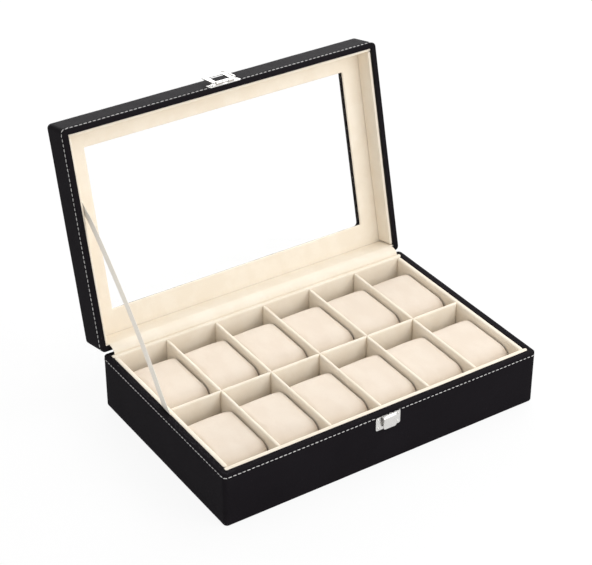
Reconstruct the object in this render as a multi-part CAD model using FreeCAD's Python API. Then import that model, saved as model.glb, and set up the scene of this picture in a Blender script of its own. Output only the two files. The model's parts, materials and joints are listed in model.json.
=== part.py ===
import FreeCAD, Part
import math
import os

from FreeCAD import Vector

# A leather-covered watch box with a glazed lid, shown open. Millimetres, +Z up, +Y to the back.
# The origin is the middle of the underside.

# Outside of the box
BOX_WIDTH = 314.0
BOX_DEPTH = 200.0
BASE_HEIGHT = 52.0
LID_HEIGHT = 31.0
RIM_GAP = 0.6
LID_OPEN_ANGLE = 103.3

# Boards and cover
CORNER_RADIUS = 2.6
LEATHER = 1.0
WALL_BOARD = 4.2
BOTTOM_BOARD = 4.0
LID_BOARD = 3.0
RIM_ROUND = 0.9
FOOT_ROUND = 1.4
TOP_ROUND = 1.6
TURN_UNDER = 14.0
FELT_PAD = 1.2
FELT_PROUD = 0.2
FELT_CLEARANCE = 0.5

# Lining of the base
BASE_LINER = 4.8
LIP_RISE = 0.2
BACK_LIP_RISE = 0.8
LIP_CLEARANCE = 0.3
LIP_SWING_GAP = 0.8
LINER_BUTT_GAP = 0.3
LINER_ROUND = 1.6
FLOOR_LINING = 1.5
FLOOR_CLEARANCE = 0.2

# Dividers
SLOTS_ACROSS = 6
DIVIDER = 3.0
DIVIDER_DROP = 0.3
DIVIDER_ROUND = 1.1
DIVIDER_END_GAP = 0.3
LAP_CLEARANCE = 0.15

# Watch cushions
CUSHION_END_GAP = 10.0
CUSHION_DROP = 5.0
CUSHION_SIDE_GAP = 0.9
CUSHION_END_ROUND = 12.0
CUSHION_FOOT_ROUND = 5.0
CUSHION_CROWN = 1.0
CUSHION_END_BULGE = 0.8
CUSHION_DRAW_IN = 0.9
CUSHION_SHOULDER = 0.8
CUSHION_SHOULDER_SHARE = 0.25

# Lid window and lining
WINDOW_BORDER = 24.3
WINDOW_ROUND = 0.8
GLASS = 2.0
GLASS_OVERLAP = 8.0
GLASS_CLEARANCE = 0.3
FRAME_FACE = 3.3
FRAME_LAP = 2.0
FRAME_CLEARANCE = 0.2
LID_LINER = 2.9
LID_LINER_DROP = 2.6
LID_BACK_LINER = 0.8
LID_BACK_DROP = 0.8

# Rear hinges
HINGE_INSET = 62.0
HINGE_WIDTH = 28.0
LEAF_HEIGHT = 13.0
LEAF = 0.8
KNUCKLE_RADIUS = 1.7
KNUCKLE_REACH = 0.4
HINGE_PIN_RADIUS = 0.9
PIN_FIT = 0.05
KNUCKLE_GAP = 0.3
PIN_END = 0.5

# Nails
NAIL_HEAD_RADIUS = 1.1
NAIL_HEAD_HEIGHT = 0.5
NAIL_DOME = 0.35
NAIL_SHANK_RADIUS = 0.5
NAIL_BITE = 1.4
NAIL_EDGE = 3.2
NAIL_FOOT = 2.4

# Clasp catch on the base
CATCH_WIDTH = 24.5
CATCH_HEIGHT = 13.0
CATCH_DROP = 2.5
CATCH_SHEET = 0.8
CATCH_ROUND = 1.5
NOSE_WIDTH = 13.0
NOSE_FRONT_GAP = 0.4
NOSE_LEAN = 0.7
NOSE_TIP_LIFT = 1.0
NOSE_TOP_LIFT = 0.3
NOSE_ROUND = 2.0

# Hasp on the lid
HASP_PLATE_WIDTH = 31.0
HASP_PLATE_HEIGHT = 8.0
HASP_PLATE_LIFT = 0.4
HASP_AXIS_LIFT = 1.2
HASP_AXIS_REACH = 2.8
HASP_KNUCKLE_RADIUS = 1.6
HASP_KNUCKLE_SPAN = 18.0
HASP_KNUCKLE_SLOT = 6.0
HASP_PIN_RADIUS = 0.7
HASP_WIDTH = 24.0
HASP_SHEET = 0.8
HASP_EDGE_DEPTH = 1.6
HASP_EDGE = 1.0
HASP_CORNER = 4.0
HASP_HOLE_SIDE_GAP = 0.75
HASP_HOLE_TOP_GAP = 0.8
HASP_HOLE_TIP_GAP = 0.5
HASP_HOLE_ROUND = 1.0
HASP_BAR = 5.5
HASP_FLIP_ANGLE = 174.0

# Stay ribbon on the left
RIBBON_WIDTH = 9.0
RIBBON = 0.4
RIBBON_BASE_Y = 0.0
RIBBON_LID_Y = -38.0
RIBBON_LID_DEPTH = 11.0
RIBBON_TAIL = 12.0
RIBBON_TAB = 14.0
RIBBON_SLACK = 0.05
RIBBON_SIDE_GAP = 0.3
RIBBON_POCKET = 0.6

# Lining strip over the rear joint
STRIP = 0.7
STRIP_SIDE_GAP = 0.3
STRIP_RISE = 1.8
STRIP_GAP = 0.15

# Sizes that follow from the ones above
HALF_WIDTH = BOX_WIDTH / 2
HALF_DEPTH = BOX_DEPTH / 2
WALL = LEATHER + WALL_BOARD
INNER_X = HALF_WIDTH - WALL
INNER_Y = HALF_DEPTH - WALL
LID_INNER_X = INNER_X + LIP_CLEARANCE
LID_INNER_Y = INNER_Y + LIP_CLEARANCE
TRAY_X = INNER_X - BASE_LINER
TRAY_Y = INNER_Y - BASE_LINER
BOARD_X = HALF_WIDTH - LEATHER
BOARD_Y = HALF_DEPTH - LEATHER
BOARD_CORNER = CORNER_RADIUS - LEATHER
PANEL_TOP = FELT_PAD + BOTTOM_BOARD
FLOOR_TOP = PANEL_TOP + FLOOR_LINING
DIVIDER_TOP = BASE_HEIGHT - DIVIDER_DROP
LID_RIM = BASE_HEIGHT + RIM_GAP
LID_TOP = LID_RIM + LID_HEIGHT
LID_BOARD_FOOT = LID_TOP - LEATHER - LID_BOARD
GLASS_TOP = LID_BOARD_FOOT - LEATHER
GLASS_FOOT = GLASS_TOP - GLASS
FRAME_FOOT = GLASS_FOOT - FRAME_FACE
WINDOW_X = HALF_WIDTH - WINDOW_BORDER
WINDOW_Y = HALF_DEPTH - WINDOW_BORDER
SLOT_WIDTH = (2 * TRAY_X - (SLOTS_ACROSS - 1) * DIVIDER) / SLOTS_ACROSS
SLOT_PITCH = SLOT_WIDTH + DIVIDER
ROW_Y = (TRAY_Y + DIVIDER / 2) / 2
CUSHION_LENGTH = TRAY_Y - DIVIDER / 2 - 2 * CUSHION_END_GAP
CUSHION_TOP = DIVIDER_TOP - CUSHION_DROP
HINGE_X = HALF_WIDTH - HINGE_INSET
HINGE_Y = HALF_DEPTH + KNUCKLE_REACH
HINGE_Z = BASE_HEIGHT + RIM_GAP / 2
CATCH_TOP = BASE_HEIGHT - CATCH_DROP
CATCH_FOOT = CATCH_TOP - CATCH_HEIGHT
NOSE_REACH = HASP_AXIS_REACH + HASP_SHEET / 2 + NOSE_FRONT_GAP + CATCH_SHEET
NOSE_TOP = CATCH_TOP + NOSE_TOP_LIFT
NOSE_TIP = CATCH_FOOT + NOSE_TIP_LIFT
HASP_Y = -HALF_DEPTH - HASP_AXIS_REACH
HASP_Z = LID_RIM + HASP_AXIS_LIFT
LINER_FOOT_GAP = LIP_RISE - RIM_GAP + LID_LINER_DROP
BACK_LINER_FOOT_GAP = BACK_LIP_RISE - RIM_GAP + LID_BACK_DROP


def block(x, y, z):
    """A box between two limits along each axis."""
    size = Vector(x[1] - x[0], y[1] - y[0], z[1] - z[0])
    return Part.makeBox(size.x, size.y, size.z, Vector(x[0], y[0], z[0]))


def centred(half_x, half_y, z):
    """A box centred on the origin in plan."""
    return block((-half_x, half_x), (-half_y, half_y), z)


def edges_along(shape, axis):
    """The straight edges of a shape that run along one axis (0, 1 or 2)."""
    found = []
    for edge in shape.Edges:
        span = edge.Vertexes[-1].Point - edge.Vertexes[0].Point
        if span.Length > 1e-6 and abs(abs(span[axis]) - span.Length) < 1e-6:
            found.append(edge)
    return found


def edges_at_height(shape, z):
    """The edges of a shape that lie wholly at one height."""
    box = [edge.BoundBox for edge in shape.Edges]
    level = [abs(b.ZMin - z) < 1e-6 and abs(b.ZMax - z) < 1e-6 for b in box]
    return [edge for edge, flat in zip(shape.Edges, level) if flat]


def rounded_block(half_x, half_y, z, radius):
    """A box centred in plan with its four upright edges rounded."""
    body = centred(half_x, half_y, z)
    return body.makeFillet(radius, edges_along(body, 2))


def bar_x(y, z, radius, x):
    """A round bar along X between two limits."""
    return Part.makeCylinder(radius, x[1] - x[0], Vector(x[0], y, z), Vector(1, 0, 0))


def sheet_yz(points, x):
    """A flat profile given as (y, z) points, drawn out along X."""
    corners = [Vector(x[0], y, z) for y, z in points]
    face = Part.Face(Part.makePolygon(corners + corners[:1]))
    return face.extrude(Vector(x[1] - x[0], 0, 0))


def opened(shape):
    """A copy of a lid piece turned from closed to open."""
    turned = shape.copy()
    turned.rotate(Vector(0, HINGE_Y, HINGE_Z), Vector(1, 0, 0), -LID_OPEN_ANGLE)
    return turned


def opened_point(y, z):
    """Where a point of the closed lid stands when the lid is open, as (y, z)."""
    angle = math.radians(LID_OPEN_ANGLE)
    dy = y - HINGE_Y
    dz = z - HINGE_Z
    turned_y = dy * math.cos(angle) + dz * math.sin(angle)
    turned_z = dz * math.cos(angle) - dy * math.sin(angle)
    return HINGE_Y + turned_y, HINGE_Z + turned_z


def nail(x, z, sheet, outward):
    """One nail through a metal sheet and the leather on the back (+1) or front (-1) of the box."""
    place = Vector(x, outward * (HALF_DEPTH + sheet), z)
    out = Vector(0, outward, 0)
    shank = Part.makeCylinder(NAIL_SHANK_RADIUS, sheet + LEATHER + NAIL_BITE, place, -out)
    head = Part.makeCylinder(NAIL_HEAD_RADIUS, NAIL_HEAD_HEIGHT, place, out)
    crown = place.y + outward * NAIL_HEAD_HEIGHT
    rim = [e for e in head.Edges if abs(e.BoundBox.YMin - crown) < 1e-6]
    return head.makeFillet(NAIL_DOME, rim).fuse(shank).removeSplitter()


def nails(places, sheet, outward):
    """A group of nails at (x, z) places."""
    return Part.makeCompound([nail(x, z, sheet, outward) for x, z in places])


def hinge_centres():
    """The middles of the two rear hinges along X."""
    return (-HINGE_X, HINGE_X)


def hinge_nail_places(side):
    """Nail places of both hinges in one leaf row: side -1 base, +1 lid."""
    offset = HINGE_WIDTH / 2 - NAIL_EDGE
    z = HINGE_Z + side * (LEAF_HEIGHT - NAIL_EDGE)
    return [(centre + end * offset, z) for centre in hinge_centres() for end in (-1, 1)]


def catch_nail_places():
    """Two nails at each end of the catch plate."""
    x = CATCH_WIDTH / 2 - NAIL_FOOT
    rows = (CATCH_FOOT + NAIL_FOOT, CATCH_TOP - NAIL_FOOT)
    return [(end * x, z) for end in (-1, 1) for z in rows]


def hasp_nail_places():
    """One nail at each end of the hasp plate, clear of the folded loop."""
    x = HASP_PLATE_WIDTH / 2 - NAIL_FOOT
    z = LID_RIM + HASP_PLATE_LIFT + HASP_PLATE_HEIGHT / 2
    return [(-x, z), (x, z)]


def knuckle_room():
    """The room let into the rear edges of base and lid for the knuckles of both hinges."""
    half = HINGE_WIDTH / 2 + PIN_END + KNUCKLE_GAP
    radius = KNUCKLE_RADIUS + KNUCKLE_GAP
    bars = [bar_x(HINGE_Y, HINGE_Z, radius, (c - half, c + half)) for c in hinge_centres()]
    return Part.makeCompound(bars)


base_hinge_nails = nails(hinge_nail_places(-1), LEAF, 1)
lid_hinge_nails = nails(hinge_nail_places(1), LEAF, 1)
catch_nails = nails(catch_nail_places(), CATCH_SHEET, -1)
hasp_nails = nails(hasp_nail_places(), CATCH_SHEET, -1)
hinge_room = knuckle_room()


def base_cover():
    """The leather skin of the base: sides, rim and turn-under."""
    skin = rounded_block(HALF_WIDTH, HALF_DEPTH, (FELT_PROUD, BASE_HEIGHT), CORNER_RADIUS)
    skin = skin.makeFillet(RIM_ROUND, edges_at_height(skin, BASE_HEIGHT))
    skin = skin.makeFillet(FOOT_ROUND, edges_at_height(skin, FELT_PROUD))
    core = rounded_block(BOARD_X, BOARD_Y, (FELT_PAD, BASE_HEIGHT - LEATHER), BOARD_CORNER)
    mouth = centred(INNER_X, INNER_Y, (PANEL_TOP, BASE_HEIGHT + LEATHER))
    foot = centred(HALF_WIDTH - TURN_UNDER, HALF_DEPTH - TURN_UNDER, (0, PANEL_TOP))
    cover = skin.cut(core).cut(mouth).cut(foot).cut(hinge_room)
    return cover.cut(base_hinge_nails).cut(catch_nails)


def carcass(z, inner_x, inner_y, fastenings):
    """Four boards between two heights: front and back run full width, the sides fit between them."""
    core = rounded_block(BOARD_X, BOARD_Y, z, BOARD_CORNER)
    front = block((-BOARD_X, BOARD_X), (-BOARD_Y, -inner_y), z).common(core)
    back = block((-BOARD_X, BOARD_X), (inner_y, BOARD_Y), z).common(core)
    left = block((-BOARD_X, -inner_x), (-inner_y, inner_y), z)
    right = block((inner_x, BOARD_X), (-inner_y, inner_y), z)
    for group in fastenings:
        front = front.cut(group)
        back = back.cut(group)
    return {"front": front, "back": back, "left": left, "right": right}


def liner(x, y, z):
    """A velvet-covered liner board with its two long top edges rounded."""
    board = block(x, y, z)
    top = [e for e in edges_at_height(board, z[1]) if e.Length > 2 * BASE_LINER]
    return board.makeFillet(LINER_ROUND, top)


def base_liners():
    """Liners inside the base walls, proud of the rim as a lip."""
    top = BASE_HEIGHT + LIP_RISE
    back_top = BASE_HEIGHT + BACK_LIP_RISE
    side_y = (-TRAY_Y + LINER_BUTT_GAP, TRAY_Y - LINER_BUTT_GAP)
    full = (-INNER_X, INNER_X)
    return {
        "front": liner(full, (-INNER_Y, -TRAY_Y), (PANEL_TOP, top)),
        "back": liner(full, (TRAY_Y, INNER_Y), (PANEL_TOP, back_top)),
        "left": liner((-INNER_X, -TRAY_X), side_y, (PANEL_TOP, top)).cut(ribbon_pocket()),
        "right": liner((TRAY_X, INNER_X), side_y, (PANEL_TOP, top)),
    }


def cross_places():
    """The middles of the cross dividers along X."""
    middle = (SLOTS_ACROSS - 2) / 2
    return [(index - middle) * SLOT_PITCH for index in range(SLOTS_ACROSS - 1)]


def divider(x, y):
    """A divider board standing on the floor lining, its long top edges rounded."""
    board = block(x, y, (FLOOR_TOP, DIVIDER_TOP))
    crown = [e for e in edges_at_height(board, DIVIDER_TOP) if e.Length > 2 * DIVIDER]
    return board.makeFillet(DIVIDER_ROUND, crown)


def long_divider():
    """The divider along the box, slotted from above for the cross dividers."""
    half = TRAY_X - DIVIDER_END_GAP
    board = divider((-half, half), (-DIVIDER / 2, DIVIDER / 2))
    reach = DIVIDER / 2 + LAP_CLEARANCE
    lap = (FLOOR_TOP + DIVIDER_TOP) / 2 - LAP_CLEARANCE
    for place in cross_places():
        slot = block((place - reach, place + reach), (-DIVIDER, DIVIDER), (lap, BASE_HEIGHT))
        board = board.cut(slot)
    return board


def cross_divider(place):
    """A divider across the box, slotted from below to sit over the long one."""
    half = TRAY_Y - DIVIDER_END_GAP
    board = divider((place - DIVIDER / 2, place + DIVIDER / 2), (-half, half))
    reach = DIVIDER / 2 + LAP_CLEARANCE
    lap = (FLOOR_TOP + DIVIDER_TOP) / 2 + LAP_CLEARANCE
    slot = block((place - DIVIDER, place + DIVIDER), (-reach, reach), (PANEL_TOP, lap))
    return board.cut(slot)


def cushion_outline(x, inset):
    """One upright section of a cushion at x, drawn in from its full size by inset."""
    half = CUSHION_LENGTH / 2 - CUSHION_END_BULGE - inset
    foot = FLOOR_TOP
    top = CUSHION_TOP - CUSHION_CROWN - inset
    big = CUSHION_END_ROUND
    small = CUSHION_FOOT_ROUND
    diagonal = math.sqrt(0.5)

    def at(y, z):
        return Vector(x, y, z)

    def bend(y, z, radius, sign_y, sign_z):
        return at(y + sign_y * radius * diagonal, z + sign_z * radius * diagonal)

    foot_front = at(-half + small, foot)
    foot_back = at(half - small, foot)
    low_back = at(half, foot + small)
    high_back = at(half, top - big)
    top_back = at(half - big, top)
    top_front = at(-half + big, top)
    high_front = at(-half, top - big)
    low_front = at(-half, foot + small)
    middle = (foot + small + top - big) / 2
    return Part.Wire([
        Part.makeLine(foot_front, foot_back),
        Part.Arc(foot_back, bend(half - small, foot + small, small, 1, -1), low_back).toShape(),
        Part.Arc(low_back, at(half + CUSHION_END_BULGE, middle), high_back).toShape(),
        Part.Arc(high_back, bend(half - big, top - big, big, 1, 1), top_back).toShape(),
        Part.Arc(top_back, at(0, top + CUSHION_CROWN), top_front).toShape(),
        Part.Arc(top_front, bend(-half + big, top - big, big, -1, 1), high_front).toShape(),
        Part.Arc(high_front, at(-half - CUSHION_END_BULGE, middle), low_front).toShape(),
        Part.Arc(low_front, bend(-half + small, foot + small, small, -1, -1), foot_front).toShape(),
    ])


def cushion_form():
    """A watch cushion at the origin: crowned, with big rounded ends and drawn-in sides."""
    half = SLOT_WIDTH / 2 - CUSHION_SIDE_GAP
    shoulder = (-CUSHION_SHOULDER, CUSHION_SHOULDER_SHARE * CUSHION_DRAW_IN)
    stations = [(-1.0, CUSHION_DRAW_IN), shoulder, (0.0, 0.0)]
    stations += [(-place, inset) for place, inset in stations[1::-1]]
    outlines = [cushion_outline(place * half, inset) for place, inset in stations]
    return Part.makeLoft(outlines, True, False)


def cushion_places():
    """The middles of the compartments, front row first, left to right."""
    columns = [(index - (SLOTS_ACROSS - 1) / 2) * SLOT_PITCH for index in range(SLOTS_ACROSS)]
    return [(x, y) for y in (-ROW_Y, ROW_Y) for x in columns]


def lid_cover():
    """The leather skin of the closed lid: rim, sides, top and the edges of the window."""
    skin = rounded_block(HALF_WIDTH, HALF_DEPTH, (LID_RIM, LID_TOP), CORNER_RADIUS)
    skin = skin.makeFillet(TOP_ROUND, edges_at_height(skin, LID_TOP))
    skin = skin.makeFillet(RIM_ROUND, edges_at_height(skin, LID_RIM))
    core = rounded_block(BOARD_X, BOARD_Y, (LID_RIM + LEATHER, LID_TOP - LEATHER), BOARD_CORNER)
    mouth = centred(LID_INNER_X, LID_INNER_Y, (LID_RIM - LEATHER, LID_BOARD_FOOT))
    edge = centred(WINDOW_X + LEATHER, WINDOW_Y + LEATHER, (GLASS_TOP, LID_TOP - LEATHER))
    turned_in = centred(WINDOW_X + GLASS_OVERLAP, WINDOW_Y + GLASS_OVERLAP, (GLASS_TOP, LID_BOARD_FOOT))
    window = centred(WINDOW_X, WINDOW_Y, (LID_RIM, LID_TOP + LEATHER))
    cover = skin.cut(core).cut(mouth).fuse(edge).fuse(turned_in).cut(window).removeSplitter()
    lit = [e for e in edges_at_height(cover, LID_TOP) if e.BoundBox.XMax < WINDOW_X + LEATHER
           and e.BoundBox.XMin > -WINDOW_X - LEATHER and e.BoundBox.YMax < WINDOW_Y + LEATHER
           and e.BoundBox.YMin > -WINDOW_Y - LEATHER]
    cover = cover.makeFillet(WINDOW_ROUND, lit).cut(hinge_room)
    return cover.cut(lid_hinge_nails).cut(hasp_nails)


def lid_board():
    """The top board of the closed lid with its window."""
    panel = rounded_block(BOARD_X, BOARD_Y, (LID_BOARD_FOOT, LID_TOP - LEATHER), BOARD_CORNER)
    return panel.cut(centred(WINDOW_X + LEATHER, WINDOW_Y + LEATHER, (LID_RIM, LID_TOP)))


def inner_frame():
    """The velvet-covered frame that holds the glass and laps over the edge of the window."""
    half_x = LID_INNER_X - FRAME_CLEARANCE
    half_y = LID_INNER_Y - FRAME_CLEARANCE
    frame = centred(half_x, half_y, (FRAME_FOOT, LID_BOARD_FOOT))
    pocket = centred(WINDOW_X + GLASS_OVERLAP, WINDOW_Y + GLASS_OVERLAP, (GLASS_FOOT, LID_TOP))
    opening = centred(WINDOW_X - FRAME_LAP, WINDOW_Y - FRAME_LAP, (LID_RIM, LID_TOP))
    return frame.cut(opening).cut(pocket)


def window_glass():
    """The pane between the frame and the leather edge of the window."""
    reach = GLASS_OVERLAP - GLASS_CLEARANCE
    return centred(WINDOW_X + reach, WINDOW_Y + reach, (GLASS_FOOT, GLASS_TOP))


def lid_liners():
    """Liners inside the lid rails, short of the rim, the back one thin so that the base clears it."""
    foot = LID_RIM + LINER_FOOT_GAP
    back_foot = LID_RIM + BACK_LINER_FOOT_GAP
    full = (-LID_INNER_X, LID_INNER_X)
    face_x = LID_INNER_X - LID_LINER
    face_y = LID_INNER_Y - LID_LINER
    back_y = LID_INNER_Y - LID_BACK_LINER
    side_y = (-face_y + LINER_BUTT_GAP, TRAY_Y - LIP_SWING_GAP)
    return {
        "front": block(full, (-LID_INNER_Y, -face_y), (foot, FRAME_FOOT)),
        "back": block(full, (back_y, LID_INNER_Y), (back_foot, FRAME_FOOT)),
        "left": block((-LID_INNER_X, -face_x), side_y, (foot, FRAME_FOOT)),
        "right": block((face_x, LID_INNER_X), side_y, (foot, FRAME_FOOT)),
    }


def hinge_leaf(centre, side):
    """One leaf of a rear hinge: side -1 base with the outer knuckles, +1 lid with the middle one."""
    half = HINGE_WIDTH / 2
    third = HINGE_WIDTH / 6
    edge = HINGE_Z + side * LEAF_HEIGHT
    z = sorted((HINGE_Z, edge))
    plate = block((centre - half, centre + half), (HALF_DEPTH, HALF_DEPTH + LEAF), z)
    far = [e for e in edges_along(plate, 1) if abs(e.BoundBox.ZMin - edge) < 1e-6]
    leaf = plate.makeFillet(CATCH_ROUND, far)
    outer = [(centre - half, centre - third), (centre + third, centre + half)]
    inner = [(centre - third + KNUCKLE_GAP, centre + third - KNUCKLE_GAP)]
    own, other = (outer, inner) if side < 0 else (inner, outer)
    room = KNUCKLE_RADIUS + KNUCKLE_GAP
    for ends in other:
        wide = (ends[0] - KNUCKLE_GAP, ends[1] + KNUCKLE_GAP)
        leaf = leaf.cut(block(wide, (HALF_DEPTH - LEAF, HINGE_Y + LEAF), (HINGE_Z - room, HINGE_Z + room)))
    for ends in own:
        leaf = leaf.fuse(bar_x(HINGE_Y, HINGE_Z, KNUCKLE_RADIUS, ends))
    bore_ends = (centre - HINGE_WIDTH, centre + HINGE_WIDTH)
    bore = bar_x(HINGE_Y, HINGE_Z, HINGE_PIN_RADIUS + PIN_FIT, bore_ends)
    leaf = leaf.cut(bore).removeSplitter()
    return leaf.cut(base_hinge_nails if side < 0 else lid_hinge_nails)


def hinge_pin(centre):
    """The pin of one rear hinge, a little longer than its knuckles."""
    half = HINGE_WIDTH / 2 + PIN_END
    return bar_x(HINGE_Y, HINGE_Z, HINGE_PIN_RADIUS, (centre - half, centre + half))


def front_plate(width, z):
    """A clasp plate on the front face with rounded corners."""
    plate = block((-width / 2, width / 2), (-HALF_DEPTH - CATCH_SHEET, -HALF_DEPTH), z)
    return plate.makeFillet(CATCH_ROUND, edges_along(plate, 1))


def clasp_catch():
    """The catch plate with its nose bent forward and down from the top edge."""
    half = NOSE_WIDTH / 2
    wide = (-half, half)
    bend = NOSE_REACH / 2
    bend_y = -HALF_DEPTH - bend
    bend_z = NOSE_TOP - bend
    front = -HALF_DEPTH - NOSE_REACH
    ring = bar_x(bend_y, bend_z, bend, wide).cut(bar_x(bend_y, bend_z, bend - CATCH_SHEET, wide))
    ring = ring.common(block(wide, (front, -HALF_DEPTH), (bend_z, NOSE_TOP)))
    tip = front + NOSE_LEAN
    leg = sheet_yz([
        (front, bend_z),
        (tip, NOSE_TIP),
        (tip + CATCH_SHEET, NOSE_TIP),
        (front + CATCH_SHEET, bend_z),
    ], wide)
    corners = [e for e in edges_at_height(leg, NOSE_TIP) if e.BoundBox.XLength < 1e-6]
    leg = leg.makeFillet(NOSE_ROUND, corners)
    plate = front_plate(CATCH_WIDTH, (CATCH_FOOT, CATCH_TOP))
    return plate.fuse(ring).fuse(leg).removeSplitter().cut(catch_nails)


def hasp_plate():
    """The fixed hasp plate on the closed lid with its two knuckles."""
    foot = LID_RIM + HASP_PLATE_LIFT
    plate = front_plate(HASP_PLATE_WIDTH, (foot, foot + HASP_PLATE_HEIGHT))
    inner = HASP_KNUCKLE_SLOT / 2
    outer = HASP_KNUCKLE_SPAN / 2
    for ends in ((-outer, -inner), (inner, outer)):
        web_z = (HASP_Z - CATCH_SHEET, HASP_Z + HASP_KNUCKLE_RADIUS)
        web = block(ends, (HASP_Y, -HALF_DEPTH), web_z)
        plate = plate.fuse(web).fuse(bar_x(HASP_Y, HASP_Z, HASP_KNUCKLE_RADIUS, ends))
    bore = bar_x(HASP_Y, HASP_Z, HASP_PIN_RADIUS + PIN_FIT, (-HASP_WIDTH, HASP_WIDTH))
    room = HASP_KNUCKLE_RADIUS + KNUCKLE_GAP
    slot_y = (HASP_Y - room, -HALF_DEPTH - CATCH_SHEET)
    slot = block((-inner, inner), slot_y, (LID_RIM - room, HASP_Z + room))
    return plate.cut(bore).cut(slot).removeSplitter().cut(hasp_nails)


def hasp_pin():
    """The pin through the hasp knuckles of the closed lid."""
    half = HASP_KNUCKLE_SPAN / 2 + PIN_END
    return bar_x(HASP_Y, HASP_Z, HASP_PIN_RADIUS, (-half, half))


def hasp_loop():
    """The hasp hooked over the nose of the catch: a stamped sheet with a turned edge and a hole."""
    half = HASP_WIDTH / 2
    room = HASP_KNUCKLE_RADIUS + KNUCKLE_GAP
    hole_top = NOSE_TOP + HASP_HOLE_TOP_GAP
    hole_foot = NOSE_TIP - HASP_HOLE_TIP_GAP
    z = (hole_foot - HASP_BAR, HASP_Z - room)
    front = HASP_Y - HASP_SHEET / 2
    blank = block((-half, half), (front, front + HASP_EDGE_DEPTH), z)
    low = [e for e in edges_along(blank, 1) if e.BoundBox.ZMax < hole_top]
    blank = blank.makeFillet(HASP_CORNER, low)
    tray_x = (-half + HASP_EDGE, half - HASP_EDGE)
    inside = block(tray_x, (front + HASP_SHEET, 0), (z[0] + HASP_EDGE, HASP_Z))
    low = [e for e in edges_along(inside, 1) if e.BoundBox.ZMax < hole_top]
    inside = inside.makeFillet(HASP_CORNER - HASP_EDGE, low)
    hole_half = NOSE_WIDTH / 2 + HASP_HOLE_SIDE_GAP
    hole = block((-hole_half, hole_half), (front - HASP_SHEET, 0), (hole_foot, hole_top))
    hole = hole.makeFillet(HASP_HOLE_ROUND, edges_along(hole, 1))
    knuckle = HASP_KNUCKLE_SLOT / 2 - KNUCKLE_GAP
    tab = block((-knuckle, knuckle), (front, front + HASP_SHEET), (z[1] - HASP_SHEET, HASP_Z))
    loop = blank.cut(inside).cut(hole).fuse(tab)
    loop = loop.fuse(bar_x(HASP_Y, HASP_Z, HASP_KNUCKLE_RADIUS, (-knuckle, knuckle)))
    bore = bar_x(HASP_Y, HASP_Z, HASP_PIN_RADIUS + PIN_FIT, (-HASP_WIDTH, HASP_WIDTH))
    return loop.cut(bore).removeSplitter()


def hasp_turned_up():
    """The hasp turned up and back over the front of the closed lid."""
    loop = hasp_loop()
    loop.rotate(Vector(0, HASP_Y, HASP_Z), Vector(1, 0, 0), -HASP_FLIP_ANGLE)
    return loop


def ribbon_ends():
    """Where the stay ribbon leaves the base lip and where it ends in the open lid, as (y, z)."""
    base = (RIBBON_BASE_Y, BASE_HEIGHT + LIP_RISE)
    lid = opened_point(RIBBON_LID_Y, LID_RIM + RIBBON_LID_DEPTH)
    return base, lid


def ribbon_solid(x_line, width):
    """A flat band laid along the stay ribbon from (distance, outer x, thickness) stations."""
    base, lid = ribbon_ends()
    span = math.hypot(lid[0] - base[0], lid[1] - base[1])
    along = Vector(0, (lid[0] - base[0]) / span, (lid[1] - base[1]) / span)
    across = Vector(0, -along.z, along.y)
    start = Vector(0, base[0], base[1]) - across * (width / 2)
    outer = [start + along * u + Vector(x, 0, 0) for u, x, thick in x_line]
    inner = [start + along * u + Vector(x + thick, 0, 0) for u, x, thick in reversed(x_line)]
    face = Part.Face(Part.makePolygon(outer + inner + outer[:1]))
    return face.extrude(across * width)


def ribbon_exit():
    """How far along the ribbon its whole width has cleared the lip."""
    base, lid = ribbon_ends()
    slope = (lid[1] - base[1]) / (lid[0] - base[0])
    return RIBBON_WIDTH / 2 / slope


def ribbon_pocket():
    """The shallow pocket behind the left liner that takes the tail of the ribbon."""
    foot = -RIBBON_TAIL - RIBBON_SIDE_GAP
    stations = [(u, -INNER_X, RIBBON_POCKET) for u in (foot, 2 * RIBBON_WIDTH)]
    return ribbon_solid(stations, RIBBON_WIDTH + 2 * RIBBON_SIDE_GAP)


def stay_ribbon():
    """The ribbon: a tail behind the left liner, a free run and a tab on the lid's left liner."""
    base, lid = ribbon_ends()
    span = math.hypot(lid[0] - base[0], lid[1] - base[1])
    clear = ribbon_exit() + RIBBON_SLACK
    tail = -INNER_X + RIBBON_SLACK
    free = -TRAY_X + RIBBON_SLACK
    tab = -LID_INNER_X + LID_LINER + RIBBON_SLACK
    stations = [(-RIBBON_TAIL, tail), (clear, tail), (clear + RIBBON_WIDTH, free),
                (span - RIBBON_TAB - RIBBON_WIDTH, free), (span - RIBBON_TAB, tab), (span, tab)]
    return ribbon_solid([(u, x, RIBBON) for u, x in stations], RIBBON_WIDTH)


def rear_strip():
    """The lining strip arched from the top of the back liner to the foot of the open lid's back liner."""
    lid_face = LID_INNER_Y - LID_BACK_LINER
    start_y = INNER_Y - LINER_ROUND
    start_z = BASE_HEIGHT + BACK_LIP_RISE + STRIP_GAP
    end_y, end_z = opened_point(lid_face, LID_RIM + BACK_LINER_FOOT_GAP)
    run = Vector(0, end_y - start_y, end_z - start_z)
    up = Vector(0, -run.z, run.y).normalize()
    half = LID_INNER_X - LID_LINER - STRIP_SIDE_GAP
    foot = Vector(-half, start_y, start_z)
    end = Vector(-half, end_y, end_z) + up * STRIP_GAP
    rise = (foot + end) * 0.5 + up * STRIP_RISE
    thick = up * STRIP
    lower = Part.Arc(foot, rise, end).toShape()
    upper = Part.Arc(end + thick, rise + thick, foot + thick).toShape()
    outline = Part.Wire([
        lower,
        Part.makeLine(end, end + thick),
        upper,
        Part.makeLine(foot + thick, foot),
    ])
    return Part.Face(outline).extrude(Vector(2 * half, 0, 0))


def felt_pad():
    """The felt under the base, the face the box stands on."""
    inset = TURN_UNDER + FELT_CLEARANCE
    return centred(HALF_WIDTH - inset, HALF_DEPTH - inset, (0, FELT_PAD))


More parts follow.
